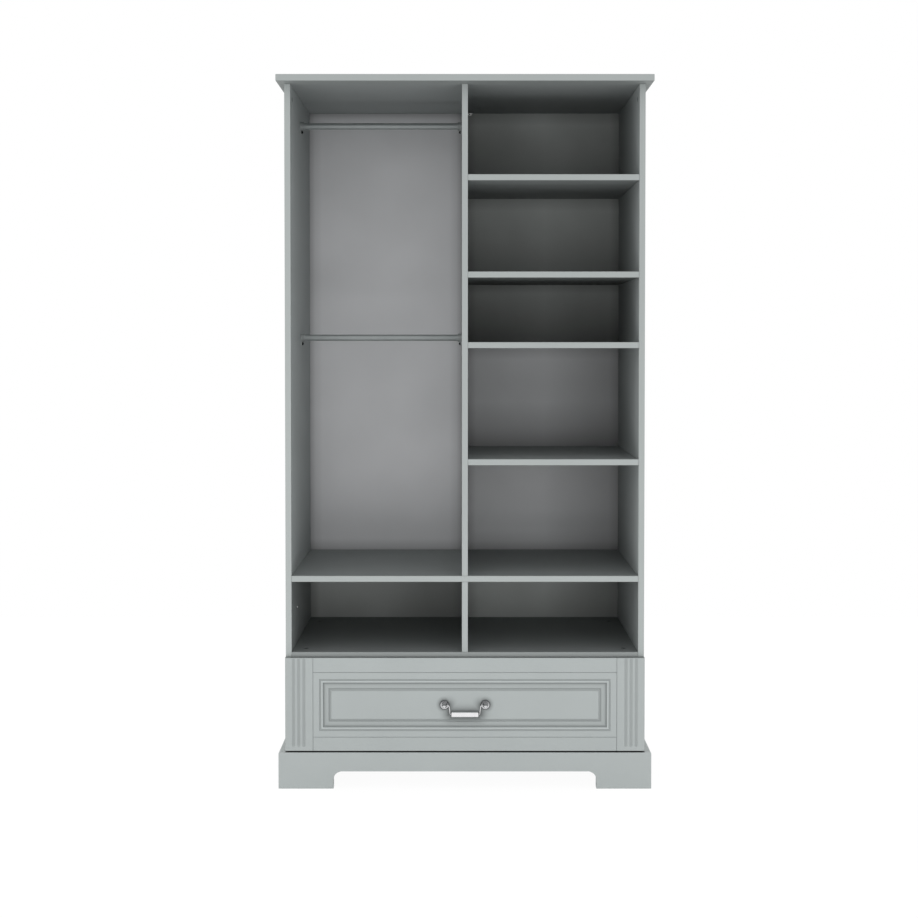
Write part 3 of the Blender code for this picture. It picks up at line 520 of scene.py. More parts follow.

# %% [markdown]
# ## Back panel
#
# The back is a thin fibreboard, bare and brown behind, with a pale print that drifts in soft
# clouds as wide as a hand. Four batches of print differ in hue and, as painted light, in
# brightness: behind the rails, brighter in the two lower shelf bays, greener in the upper three,
# and darker in the low bays. Painted shade is drawn on each bay's back: it is brightest in its
# middle, darkens just before a board, and fades toward the foot of the shelf bays and the right
# wall. Drawn curves across and upward give that.

# %% The tones across and up each bay's back
BLACK = (0.0, 0.0, 0.0)
# Painted shade on the back: tones drawn across and up each bay.
BAY_ONE = ((0.0, 0.31), (0.2, 0.42), (0.5, 0.60), (0.85, 0.86), (0.999, 0.63))
BAY_TWO = ((0.0, 0.40), (0.2, 0.53), (0.5, 0.78), (0.85, 1.0), (0.999, 0.74))
BAY_THREE = ((0.0, 0.34), (0.2, 0.46), (0.5, 0.67), (0.85, 0.92), (0.999, 0.68))
BAY_FOUR = ((0.0, 0.40), (0.08, 0.57), (0.21, 0.78), (0.45, 1.0), (0.88, 1.0), (0.999, 0.75))
BAY_FIVE = ((0.0, 0.55), (0.09, 0.88), (0.2, 1.0), (0.42, 1.0), (0.8, 0.82), (0.999, 0.75))
RAIL_BAY_UP = (
    (0.0, 0.62), (0.006, 0.76), (0.025, 1.0), (0.90, 1.0), (0.96, 0.93), (0.985, 0.85), (1.0, 0.48),
)
RAIL_BAY_ACROSS = ((0.0, 0.60), (0.035, 0.87), (0.08, 1.0), (0.92, 1.0), (0.965, 0.87), (1.0, 0.60))
UPPER_ACROSS = (
    (0.0, 0.55), (0.06, 0.80), (0.30, 0.84), (0.51, 1.0), (0.75, 0.84), (0.94, 0.80), (1.0, 0.56),
)
MIDDLE_ACROSS = ((0.0, 0.66), (0.06, 0.98), (0.51, 1.0), (0.80, 0.76), (0.94, 0.67), (1.0, 0.48))
LOW_ACROSS = (
    (0.0, 0.50), (0.03, 0.83), (0.25, 0.75), (0.38, 0.57), (0.46, 0.56), (0.49, 0.42),
    (0.51, 0.70), (0.545, 1.0), (0.76, 0.97), (0.88, 0.67), (0.96, 0.54), (1.0, 0.42),
)
column_low, column_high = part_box("middle_shelf")[1].z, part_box("top_board")[0].z


def column_tones():
    """The tones up the shelf column, bay by bay, as shares of the column's height."""
    boards = ("middle_shelf", "shelf_4", "shelf_3", "shelf_2", "shelf_1", "top_board")
    curves = (BAY_FIVE, BAY_FOUR, BAY_THREE, BAY_TWO, BAY_ONE)
    tones = []
    for under, over, curve in zip(boards, boards[1:], curves):
        foot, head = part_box(under)[1].z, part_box(over)[0].z
        for share, tone in curve:
            level = foot + share * (head - foot)
            tones.append(((level - column_low) / (column_high - column_low), tone))
    return tones


def toned(colour, axis, low, high, points):
    """Darkens a colour along one axis. Points are shares of the way from low to high and tones."""
    tone = tone_along(colour.id_data, axis, low, high, points)
    return blend_colours(tone, BLACK, colour)


def tone_along(tree, axis, low, high, points):
    """A tone drawn along one axis, for a colour or for a product of two tones."""
    return follow(spread(axes_in(tree)[axis], start=low, end=high), points)


print("the shelf column's tone has", len(column_tones()), "points")

# %% Materials: cloudy back panels
# The batches' hues are print; their brightness also paints in how much light each bay gets.
LIGHT_PRINT = ((0.715, 0.718, 0.732), (0.780, 0.782, 0.798))
MIDDLE_PRINT = ((0.870, 0.874, 0.890), (0.945, 0.949, 0.965))
GREEN_PRINT = ((0.726, 0.755, 0.738), (0.870, 0.904, 0.886))
LOW_PRINT = ((0.637, 0.663, 0.647), (0.764, 0.793, 0.777))
FIBRE = (0.335, 0.268, 0.195)
FIBRE_DARK = (0.275, 0.215, 0.152)
PRINT_SKIN = 0.0005

green_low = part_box("shelf_3")[0].z
column_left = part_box("upper_divider")[0].x
sheet_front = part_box("back_panel")[0].y


def start_print(name):
    """Starts a back panel's material. Gives it, its tree and its cloud mask."""
    material, tree = start_material(name, Specular_IOR_Level=0.2)
    drift = cloud_mask(tree, size=0.17, crispness=0.35)
    grain = pebble_mask(tree, size=0.0009, softness=0.6)
    roughen(drift, grain, smooth=0.58, rough=0.70, depth=0.00003, strength=0.5)
    return material, tree, drift


def lay_print(colour):
    """Prints the side that faces the room and leaves bare fibreboard behind it."""
    tree = colour.id_data
    behind = maths("GREATER_THAN", axes_in(tree)["Y"], sheet_front + PRINT_SKIN)
    bare = blend_colours(pebble_mask(tree, size=0.0016, softness=0.7), FIBRE_DARK, FIBRE)
    to_shader("Base Color", blend_colours(behind, colour, bare))


low_print, tree, drift = start_print("low_print")
low = blend_colours(drift, *LOW_PRINT)
lay_print(toned(low, "X", -inner_half, inner_half, LOW_ACROSS))

back_print, tree, drift = start_print("back_print")
axes = axes_in(tree)
in_column = maths("GREATER_THAN", axes["X"], column_left)
in_upper = maths("GREATER_THAN", axes["Z"], green_low)
rail_across = tone_along(tree, "X", -inner_half, column_left, RAIL_BAY_ACROSS)
rail_upward = tone_along(tree, "Z", column_low, column_high, RAIL_BAY_UP)
light = blend_colours(drift, *LIGHT_PRINT)
light = blend_colours(all_of(rail_across, rail_upward), BLACK, light)
middle = blend_colours(drift, *MIDDLE_PRINT)
middle = toned(middle, "X", -column_left, inner_half, MIDDLE_ACROSS)
green = blend_colours(drift, *GREEN_PRINT)
green = toned(green, "X", -column_left, inner_half, UPPER_ACROSS)
column = blend_colours(in_upper, middle, green)
column = toned(column, "Z", column_low, column_high, column_tones())
lay_print(blend_colours(in_column, light, column))

# %% [markdown]
# ## Boards that nobody looks at
#
# The rail and the corner blocks under the base are sawn chipboard: a Voronoi texture gives each
# chip its own brown. The drawer box is thin board with a pale melamine film and a cloth-like grain.

# %% Materials: raw chipboard, and melamine of the drawer box
CHIP_PALE = (0.400, 0.330, 0.240)
CHIP_DARK = (0.230, 0.175, 0.115)
CHIP_LENGTH = 0.005
MELAMINE = (0.570, 0.590, 0.585)
MELAMINE_DARK = (0.545, 0.565, 0.560)

raw_chipboard, tree = start_material("raw_chipboard", Specular_IOR_Level=0.15, Roughness=0.85)
chips = add_node(
    tree, "ShaderNodeTexVoronoi", Vector=place_in(tree), Scale=1 / CHIP_LENGTH, Randomness=1.0
).outputs
chip_value = add_node(tree, "ShaderNodeSeparateColor", Color=chips["Color"]).outputs["Red"]
to_shader("Base Color", blend_colours(chip_value, CHIP_DARK, CHIP_PALE))
raise_relief(chips["Distance"], depth=0.0003, strength=0.5)

drawer_melamine, tree = start_material("drawer_melamine", Specular_IOR_Level=0.35)
film = cloud_mask(tree, size=0.12, crispness=0.5)
to_shader("Base Color", blend_colours(film, MELAMINE_DARK, MELAMINE))
weft = line_mask(tree, width=0.0006, runs=(1.0, 0.08, 1.0))
roughen(weft, weft, smooth=0.44, rough=0.56, depth=0.00004, strength=0.5)

# %% [markdown]
# ## Metals
#
# The handle is bright chrome. The rails are brushed round to a dull satin, and their die-cast
# brackets are lacquered to match. The slides are zinc plated, the cam locks darker, and the small
# screws are black. All come from one recipe: a metal colour, polishing lines that vary the
# roughness, and slow clouds where hands left a trace.

# %% Materials: metals from one recipe
CHROME = (0.86, 0.86, 0.87)
CHROME_DULL = (0.80, 0.80, 0.81)
DARK_CHROME = (0.115, 0.120, 0.125)
ROUND_X = (1.0, 0.15, 0.15)
EVEN = (1.0, 1.0, 1.0)


def plate_metal(
    name, bright, dull, smooth, rough, line_width=0.0003, runs=ROUND_X, relief=0.000003, metal=1.0
):
    """A metal whose polishing lines vary its roughness. runs are the lines' shares on each axis."""
    material, tree = start_material(name, Metallic=metal)
    to_shader("Base Color", blend_colours(cloud_mask(tree, size=0.03, crispness=0.5), dull, bright))
    lines = line_mask(tree, line_width, runs)
    roughen(lines, lines, smooth, rough, depth=relief, strength=0.4)
    return material


def darken_edges(tree, start, end):
    """Paints a dark reflection into the chrome's colour where it curves away. start and end: how far
    away.
    """
    facing = add_node(tree, "ShaderNodeLayerWeight", Blend=0.5).outputs["Facing"]
    overlay(spread(facing, start=start, end=end), DARK_CHROME)


bright_chrome = plate_metal("bright_chrome", CHROME, CHROME_DULL, smooth=0.10, rough=0.24)
satin_rail = plate_metal(
    "satin_rail", (0.335, 0.360, 0.360), (0.305, 0.330, 0.330), smooth=0.36, rough=0.52,
    metal=0.5,
)
satin_casting = plate_metal(
    "satin_casting", (0.33, 0.35, 0.348), (0.30, 0.32, 0.318), smooth=0.44, rough=0.58,
    line_width=0.0006, runs=EVEN, relief=0.00002, metal=0.35,
)
zinc_plate = plate_metal(
    "zinc_plate", (0.52, 0.53, 0.54), (0.44, 0.45, 0.455), smooth=0.26, rough=0.44,
    line_width=0.0005, runs=(1.0, 0.03, 1.0), relief=0.00001,
)
dark_plate = plate_metal(
    "dark_plate", (0.105, 0.110, 0.112), (0.080, 0.084, 0.086), smooth=0.34, rough=0.50,
    line_width=0.0005, runs=(1.0, 1.0, 0.03), relief=0.00001,
)
black_screw = plate_metal(
    "black_screw", (0.024, 0.026, 0.026), (0.014, 0.015, 0.015), smooth=0.40, rough=0.58,
    line_width=0.0004, runs=EVEN, relief=0.00001,
)

# %% [markdown]
# ## Plastics
#
# The glides are black moulded plastic with a fine grain. The little cap and the angle behind the
# divider are white with a pearly skin that catches the light even in a dark bay.

# %% Materials: black and white moulded plastic
def mould_plastic(name, colour, deeper, smooth, rough, pearl=0.0):
    """Plastic with a fine grain. pearl is the share of metallic flakes in its skin."""
    material, tree = start_material(name, Specular_IOR_Level=0.45, Metallic=pearl)
    to_shader("Base Color", blend_colours(cloud_mask(tree, size=0.01, crispness=0.5), deeper, colour))
    grain = pebble_mask(tree, size=0.0005, softness=0.5)
    roughen(grain, grain, smooth, rough, depth=0.00003, strength=0.6)
    return material


black_glide = mould_plastic(
    "black_glide", (0.028, 0.028, 0.029), (0.020, 0.020, 0.021), smooth=0.5, rough=0.7
)
white_fitting = mould_plastic(
    "white_fitting", (0.86, 0.86, 0.85), (0.82, 0.82, 0.805), smooth=0.12, rough=0.24,
    pearl=0.55,
)

# %% [markdown]
# ## Dressing the boards
#
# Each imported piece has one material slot. Boards keep their mesh, and only what fills the slot
# changes.

# %% Give every board its finish
CORNERS = [f"{row}_{side}" for row in ("front", "rear") for side in ("left", "right")]
BOARD_FINISHES = (
    (grey_green_paint, ("plinth_front", "plinth_left", "plinth_right")),
    (left_wall_board, ("left_side_panel",)),
    (right_wall_board, ("right_side_panel",)),
    (standing_board, ("lower_divider", "upper_divider")),
    (ceiling_board, ("top_board",)),
    (lying_board, ("middle_shelf", "shelf_1", "shelf_3", "shelf_4")),
    (shaded_shelf, ("shelf_2",)),
    (bottom_film, ("bottom_board", "base_board")),
    (back_print, ("back_panel",)),
    (low_print, ("lower_back_panel",)),
    (raw_chipboard, ("rear_rail", *(f"corner_block_{corner}" for corner in CORNERS))),
    (drawer_melamine, ("drawer_left_side", "drawer_right_side", "drawer_back", "drawer_bottom")),
)
for finish, boards in BOARD_FINISHES:
    for board in boards:
        nodes[board].material_slots[0].material = finish
    print(finish.name, "on", len(boards), "boards")

# %% [markdown]
# ## Tools for making pieces
#
# A piece starts as a bmesh, Blender's mesh in the making. When its shape is done it becomes an
# object, gets its finish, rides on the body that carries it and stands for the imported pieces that
# it replaces. A Weighted Normal modifier keeps flat faces flat next to rounded edges.

# %% Helpers for pieces
SHARP = math.radians(38)
SAME_SPOT = 1e-6


def to_mesh(name, shape):
    mesh = bpy.data.meshes.new(name)
    shape.to_mesh(mesh)
    shape.free()
    return mesh


def set_piece(name, shape, finish, body, stands_for=(), sharp=SHARP):
    """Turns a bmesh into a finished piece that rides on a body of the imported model."""
    bmesh.ops.recalc_face_normals(shape, faces=shape.faces)
    mesh = to_mesh(name, shape)
    mesh.materials.append(finish)
    mesh.shade_smooth()
    mesh.set_sharp_from_angle(angle=sharp)
    made = put(name, mesh)
    even = made.modifiers.new("even_faces", "WEIGHTED_NORMAL")
    even.keep_sharp = True
    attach(made, body)
    if stands_for:
        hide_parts(*stands_for)
    return made


def middle_of(node):
    """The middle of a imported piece, as x, y and z."""
    return [(low + high) / 2 for low, high in zip(*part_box(node))]


def full_turn(steps):
    return [2 * math.pi * step / steps for step in range(steps)]


def quarter(steps):
    return [math.pi / 2 * step / steps for step in range(steps + 1)]


def circle(radius, across, up, sides):
    return [(across + radius * math.cos(t), up + radius * math.sin(t)) for t in full_turn(sides)]


def arc(centre, radius, start, end, steps):
    """Points on an arc of a (across, up) outline. start and end are in degrees."""
    turns = (math.radians(start + (end - start) * step / steps) for step in range(steps + 1))
    return [(centre[0] + radius * math.cos(t), centre[1] + radius * math.sin(t)) for t in turns]


def join_rings(rings):
    """A closed shape: each ring of points is joined to the next, and both ends are filled."""
    shape = bmesh.new()
    rings = [[shape.verts.new(point) for point in ring] for ring in rings]
    shape.faces.new(rings[0])
    shape.faces.new(reversed(rings[-1]))
    for ring, following in zip(rings, rings[1:]):
        for index in range(len(ring)):
            ahead = (index + 1) % len(ring)
            shape.faces.new((ring[index], following[index], following[ahead], ring[ahead]))
    bmesh.ops.recalc_face_normals(shape, faces=shape.faces)
    return shape


def push(outline, along, start, end):
    """Pushes a closed outline along X, Y or Z. It lies in the other two axes, in their order."""
    axis = "XYZ".index(along)
    return join_rings(
        [(*point[:axis], depth, *point[axis:]) for point in outline] for depth in (start, end)
    )


def turn(profile, along, centre, sides, closed=False):
    """Turns a profile of (radius, distance) points on a lathe, about the direction along."""
    shape = bmesh.new()
    points = [shape.verts.new((radius, 0.0, distance)) for radius, distance in profile]
    pairs = list(zip(points, points[1:]))
    if closed:
        pairs.append((points[-1], points[0]))
    edges = [shape.edges.new(pair) for pair in pairs]
    bmesh.ops.spin(
        shape, geom=points + edges, cent=(0, 0, 0), axis=(0, 0, 1), angle=2 * math.pi,
        steps=sides, use_merge=True,
    )
    bmesh.ops.remove_doubles(shape, verts=shape.verts, dist=SAME_SPOT)
    aim(shape, along, centre)
    bmesh.ops.recalc_face_normals(shape, faces=shape.faces)
    return shape


def aim(shape, along, centre):
    """Turns a shape made along +Z to another direction and sets it in its place."""
    facing = Vector((0, 0, 1)).rotation_difference(Vector(along)).to_matrix().to_4x4()
    bmesh.ops.transform(shape, matrix=Matrix.Translation(centre) @ facing, verts=shape.verts)


def ease_rim(shape, axis, level, offset, segments):
    """Rounds the edges that lie at one level of an axis, 0 for X and 1 for Y."""
    rim = [e for e in shape.edges if all(abs(v.co[axis] - level) < SAME_SPOT for v in e.verts)]
    bmesh.ops.bevel(
        shape, geom=rim, offset=offset, offset_type="OFFSET", segments=segments, profile=0.5,
        affect="EDGES",
    )


def carve(shape, *cutters, operation="DIFFERENCE"):
    """Cuts shapes out of a shape, or joins them on, and gives back the result as a new bmesh."""
    stock, *tools = [put("carving", to_mesh("carving", part)) for part in (shape, *cutters)]
    for tool in tools:
        boolean = stock.modifiers.new("carve", "BOOLEAN")
        boolean.object = tool
        boolean.operation = operation
        boolean.solver = "EXACT"
    bpy.context.view_layer.update()
    carved = stock.evaluated_get(bpy.context.evaluated_depsgraph_get())
    result = bmesh.new()
    result.from_mesh(carved.to_mesh())
    carved.to_mesh_clear()
    bmesh.ops.remove_doubles(result, verts=result.verts, dist=SAME_SPOT)
    for made in (stock, *tools):
        mesh = made.data
        bpy.data.objects.remove(made)
        bpy.data.meshes.remove(mesh)
    return result


print("piece helpers are ready")

# %% [markdown]
# ## The drawer front
#
# This is the one decorated board: a milled panel that imitates a frame. Its stiles carry three
# flutes each, fine saw cuts mark the joints, and a moulding runs round the field: a bead, a step
# down, a long slope up and a narrow hollow. It is carved as a router would do it, from a box with
# eased edges, less the air over the moulding, the lines and the flutes.

# %% The moulding's section, from its outer edge inwards
MM = 0.001
FIELD_DEPTH = 1.0 * MM


def in_mm(*points):
    """Points drawn in millimetres, given back in metres."""
    return [(across * MM, along * MM) for across, along in points]


bead = [math.radians(168 - 156 * step / 8) for step in range(9)]
section = in_mm(
    (-0.6, -0.7), (0.0, 0.0), (0.5, 1.2), (1.2, 2.1), (2.4, 2.5), (3.9, 2.5), (4.7, 2.2),
    (5.05, 1.4), *((7.6 + 2.4 * math.cos(t), 1.2 - 1.0 * math.sin(t)) for t in bead),
    (10.15, 1.9), (10.35, 3.2), (10.6, 4.4), (11.2, 4.9), (12.4, 4.95), (13.4, 4.5),
    (15.5, 4.05), (18.0, 3.6), (20.5, 3.2), (22.8, 2.85), (24.4, 2.65), (24.95, 2.8),
    (25.2, 3.4), (25.8, 4.2), (27.0, 4.5), (28.4, 4.5), (29.8, 4.1), (31.0, 3.2),
    (32.0, 1.85), (33.0, 1.0),
)
print("the moulding is", round(section[-1][0] / MM, 1), "mm wide with", len(section), "points")

# %% [markdown]
# The milled hollows get painted shade, darker than the face, and every crest gets a painted
# highlight. Both follow from how deep a point lies below the face, so one group turns that depth
# into two masks. The flat field, one millimetre down, stays free of both.

# %% Effect: how deep the milling is
front_low, front_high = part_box("drawer_front")
face_y = front_low.y
EDGE_ROUND = 1.4 * MM
STILE = 75.2 * MM
DEEPEST = 5.0
HOLLOW = (
    (0.0, 0.0), (0.12, 0.22), (0.90, 0.30), (0.97, 0.0), (1.03, 0.0), (1.12, 0.38), (1.9, 0.5),
    (2.5, 0.55), (2.7, 0.15), (3.5, 0.25), (4.0, 0.4), (4.3, 0.75), (4.6, 0.95), (5.0, 1.0),
)
CREST = ((0.0, 0.0), (0.05, 0.0), (0.15, 1.0), (0.6, 1.0), (0.9, 0.0), (5.0, 0.0))

milled, given, result = start_effect(
    "Milled Depth",
    {
        "Face": -0.2675, "Half Width": 0.485, "Middle": 0.2285, "Half Height": 0.1265,
        "Stile Edge": 0.41,
    },
    ["Hollow", "Crest"],
)
axes = axes_in(milled)
depth = maths("SUBTRACT", axes["Y"], given["Face"])
scaled = maths("MULTIPLY", depth, 1 / (DEEPEST * MM))
upward = maths("SUBTRACT", axes["Z"], given["Middle"])
on_face = all_of(
    within(axes["X"], given["Half Width"]),
    within(upward, given["Half Height"]), maths("LESS_THAN", scaled, 1.1),
)
hollow = follow(scaled, [(mm / DEEPEST, mask) for mm, mask in HOLLOW])
crest = follow(scaled, [(mm / DEEPEST, mask) for mm, mask in CREST])
feed(result, "Hollow", all_of(hollow, on_face))
inward = within(axes["X"], given["Stile Edge"])
feed(result, "Crest", all_of(crest, inward))

# %% [markdown]
# A soft shadow of the handle is painted into the paint's colour behind it. It is darkest at the
# grip, the wire's two legs and the rosettes, and thins out over one to three centimetres.

# %% Effect: the handle's painted shadow on the field
grip_low, grip_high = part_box("handle_grip")
grip_y, grip_z = (grip_low.y + grip_high.y) / 2, (grip_low.z + grip_high.z) / 2
grip_radius = (grip_high.z - grip_low.z) / 2
grip_end = grip_high.x
post_x, _, post_z = middle_of("handle_post_right")

POST_SHARE = 0.75


def distance(across, upward):
    """How far a point is from a place, by its distances across and upward."""
    squares = maths("MULTIPLY_ADD", across, across, maths("MULTIPLY", upward, upward))
    return maths("SQRT", squares)


def thin_out(across, upward, gap, reach, power):
    """A mask that is 1 at a shape and thins out over its reach. across and upward lead to it."""
    away = maths("SUBTRACT", distance(across, upward), gap)
    return maths("POWER", spread(away, 1.0, 0.0, end=reach), power)


def beyond(value, limit):
    """How far a value goes past a limit, or zero."""
    return maths("MAXIMUM", maths("SUBTRACT", value, limit), 0.0)


def off(value, middle):
    """How far a value is from a middle, either way."""
    return maths("ABSOLUTE", maths("SUBTRACT", value, middle))


shade, given, result = start_effect(
    "Painted Handle Shadow",
    {
        "Grip Z": 0.2, "Grip Half": 0.036, "Grip Radius": 0.0055, "Leg X": 0.043,
        "Post X": 0.055, "Post Z": 0.2285, "Rosette": 0.013,
    },
    ["Shade"],
)
axes = axes_in(shade)
sideways = maths("ABSOLUTE", axes["X"])
round_grip = thin_out(
    beyond(sideways, given["Grip Half"]),
    beyond(off(axes["Z"], given["Grip Z"]), given["Grip Radius"]),
    gap=0.0, reach=34 * MM, power=2.4,
)
both = maths("ADD", given["Grip Z"], given["Post Z"])
leg_middle = maths("MULTIPLY", both, 0.5)
leg_half = maths("SUBTRACT", given["Post Z"], leg_middle)
round_leg = thin_out(
    maths("SUBTRACT", sideways, given["Leg X"]),
    beyond(off(axes["Z"], leg_middle), leg_half), gap=0.0, reach=30 * MM, power=1.9,
)
round_post = thin_out(
    maths("SUBTRACT", sideways, given["Post X"]),
    maths("SUBTRACT", axes["Z"], given["Post Z"]),
    gap=given["Rosette"], reach=12 * MM, power=1.5,
)
fainter = maths("MULTIPLY", round_post, POST_SHARE)
nearest = maths("MAXIMUM", maths("MAXIMUM", round_grip, round_leg), fainter)
feed(result, "Shade", nearest)

# %% Material: paint on milled work
# The drawer front's paint is a slightly darker copy of the outside paint, a painted shade.
MILLED_TONE = 0.975
# Painted shade in the hollows, the handle's painted shadow, and a painted highlight on the crests.
HOLLOW_SHADE_PAINT = tinted(PAINT, 0.60)
HANDLE_SHADOW_PAINT = tinted(PAINT, 0.36)
CREST_HIGHLIGHT_PAINT = tinted(PAINT, 1.09)
# A painted shadow for the drawer front's top edge, which lies in the gap under the bottom board.
TOP_GAP_SHADOW = (0.150, 0.160, 0.158)
SHADE_DROP = 4.0 * MM
LEG_STAND = 6.0 * MM
STILE_MARGIN = 3.0 * MM
# How high the painted shadow reaches on the drawer front's bottom edge.
SHADOWED_FOOT = 1.2 * MM
SHY = 0.05 * MM
EDGE_MARGIN = 0.2 * MM

milled_paint, tree = start_material("milled_paint", Specular_IOR_Level=0.35)
spray(tree, tinted(PAINT, MILLED_TONE), tinted(PAINT_THICK, MILLED_TONE))
relief = place_effect(
    tree, milled, Face=face_y, Half_Width=front_high.x - EDGE_ROUND - SHY,
    Middle=(front_low.z + front_high.z) / 2,
    Half_Height=(front_high.z - front_low.z) / 2 - EDGE_ROUND - SHY,
    Stile_Edge=front_high.x - STILE - STILE_MARGIN,
)
# The drawer front's top edge gets a painted shadow.
edge = place_effect(
    tree, gap_shadow_edge, Level=front_high.z - EDGE_MARGIN, Depth=face_y + EDGE_ROUND, Half_Width=1.0
)
# The handle's painted shadow, set a little lower than the grip.
handle_shadow = place_effect(
    tree, shade, Grip_Z=grip_z - SHADE_DROP, Grip_Half=grip_end, Grip_Radius=grip_radius,
    Leg_X=grip_end + LEG_STAND, Post_X=post_x, Post_Z=post_z,
)
overlay(handle_shadow["Shade"], HANDLE_SHADOW_PAINT)
overlay(relief["Hollow"], HOLLOW_SHADE_PAINT)
overlay(relief["Crest"], CREST_HIGHLIGHT_PAINT)
overlay(edge["Edge"], TOP_GAP_SHADOW)
# The drawer front's bottom edge gets the same near-black painted shadow as the plinth's top edge.
lower_edge = maths("LESS_THAN", axes_in(tree)["Z"], front_low.z + SHADOWED_FOOT)
overlay(lower_edge, GAP_SHADOW)

# %% [markdown]
# The same section follows all four sides, so the air over it is a stack of rectangles, each
# drawn further in than the last. Its corners come out mitred, as on the real panel.

# %% The router's cuts
UPPER_BAND = 39.3 * MM
LOWER_BAND = 38.3 * MM
MOULDING_MARGIN = 16.5 * MM
MOULDING_DROP = 1.2 * MM
LINE_HALF = 0.75 * MM
LINE_DEPTH = 1.8 * MM
FLUTE_PLACE = 36.5 * MM
FLUTE_PITCH = 14.0 * MM
FLUTE_HALF = 4.4 * MM
FLUTE_DEPTH = 1.95 * MM
FLUTE_FOOT = 9.8 * MM
CLEAR = 2.0 * MM


def moulding_air():
    """What is milled away over the moulding and the field."""
    left = front_low.x + STILE + MOULDING_MARGIN
    low = front_low.z + UPPER_BAND + MOULDING_MARGIN - MOULDING_DROP
    high = front_high.z - UPPER_BAND - MOULDING_MARGIN - MOULDING_DROP
    rings = []
    for inset, depth in section:
        x, y, foot, head = left + inset, face_y + depth, low + inset, high - inset
        rings.append([(x, y, foot), (-x, y, foot), (-x, y, head), (x, y, head)])
    return join_rings(rings)


def joint_line(start, end):
    """A fine saw's cut along a line on the face, from (x, z) to (x, z), a little narrower below."""
    start, end = (Vector((x, face_y, z)) for x, z in (start, end))
    across = (end - start).normalized().cross(Vector((0, 1, 0)))
    lift = Vector((0, -LINE_DEPTH, 0))
    wide, narrow = 1.2 * LINE_HALF * across, 0.8 * LINE_HALF * across
    return join_rings(
        [p + wide + lift, p - wide + lift, p - narrow - lift, p + narrow - lift]
        for p in (start, end)
    )


def flute(centre_x):
    """A core-box cutter: a round bottom, open at the top edge and a half ball at its foot."""
    radius = (FLUTE_HALF ** 2 + FLUTE_DEPTH ** 2) / (2 * FLUTE_DEPTH)
    axis_y = face_y + FLUTE_DEPTH - radius
    foot = front_low.z + FLUTE_FOOT + radius
    profile = [(radius * math.sin(t), -radius * math.cos(t)) for t in quarter(10)]
    profile[0] = (0, -radius)
    profile += [(radius, front_high.z + CLEAR - foot), (0, front_high.z + CLEAR - foot)]
    return turn(profile, (0, 0, 1), (centre_x, axis_y, foot), sides=40)


print("the drawer's face is at y", round(face_y, 4))

# %% Mill the drawer front
outline = [
    (front_low.x, front_low.z), (front_high.x, front_low.z), (front_high.x, front_high.z),
    (front_low.x, front_high.z),
]
panel = push(outline, "Y", face_y, front_high.y)
ease_rim(panel, axis=1, level=face_y, offset=EDGE_ROUND, segments=4)
inner_x = front_high.x - STILE
cuts = [moulding_air()]
for side in (-1, 1):
    x = side * inner_x
    cuts.append(joint_line((x, front_low.z - CLEAR), (x, front_high.z + CLEAR)))
    for place in (-1, 0, 1):
        cuts.append(flute(side * (front_high.x - FLUTE_PLACE) + place * FLUTE_PITCH))
for height in (front_low.z + LOWER_BAND, front_high.z - UPPER_BAND):
    cuts.append(joint_line((-inner_x, height), (inner_x, height)))
drawer_face = set_piece(
    "milled_drawer_front", carve(panel, *cuts), milled_paint, "drawer",
    ["drawer_front"], sharp=math.radians(28),
)
print("the drawer front has", len(drawer_face.data.polygons), "faces")

# %% [markdown]
# ## The bail handle
#
# Two turned posts with a rosette, a neck and a ball hold the ends of a bent wire, and a thick
# round grip hangs on it. Posts and grip are profiles turned about an axis, as on a lathe, and the
# wire is a path that is given thickness. Wire and grip swing about the line through both balls.
#
# Dark reflection and shade are painted into the chrome's colour: it stays bright on the rosettes'
# rolled rings and the balls' lower sides, and is painted dark in the dished faces, at the rims, on
# the balls' upper halves and round the wire's holes. One group turns the distance from the post's
# axis into that pattern of rings. The wire is duller than the grip, whose two ends get a painted
# dark rim of shade.

# %% Effect and material: chrome with painted dark reflection and shade
field_y = face_y + FIELD_DEPTH
bail_low, bail_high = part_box("handle_bail")
bail_y = (bail_low.y + bail_high.y) / 2
WIRE = 1.6 * MM
bail_z = bail_high.z - WIRE
ROSETTE = 13.0 * MM
BALL = 6.0 * MM
BALL_MARGIN = 0.1 * MM
BRIGHT_POST_CHROME = (0.82, 0.82, 0.83)
BALL_TOP_SHADE = 0.8
CROWN_START = -1.0 * MM
CROWN_END = 1.6 * MM
# Painted dark reflection and shade by distance from the post's axis, in millimetres: 1 is dark.
RINGS = (
    (0.0, 0.0), (5.9, 0.0), (6.3, 1.0), (7.5, 1.0), (8.0, 0.05), (10.9, 0.0), (11.4, 1.0),
    (13.0, 1.0),
)

chrome_shade, given, result = start_effect(
    "Painted Chrome Shade", {"Post X": 0.055, "Post Z": 0.2285, "Ball": 0.006, "Hole": -0.0032}, ["Painted Dark"]
)
axes = axes_in(chrome_shade)
aside = maths("SUBTRACT", maths("ABSOLUTE", axes["X"]), given["Post X"])
above = maths("SUBTRACT", axes["Z"], given["Post Z"])
away = distance(aside, above)
scaled = maths("MULTIPLY", away, 1 / ROSETTE)
rings = follow(scaled, [(mm * MM / ROSETTE, mask) for mm, mask in RINGS])
upper = spread(above, high=BALL_TOP_SHADE, start=CROWN_START, end=CROWN_END)
by_the_hole = maths("LESS_THAN", aside, given["Hole"])
shaded = maths("MAXIMUM", upper, by_the_hole)
crown = all_of(maths("LESS_THAN", away, given["Ball"]), shaded)
feed(result, "Painted Dark", maths("MAXIMUM", rings, crown))

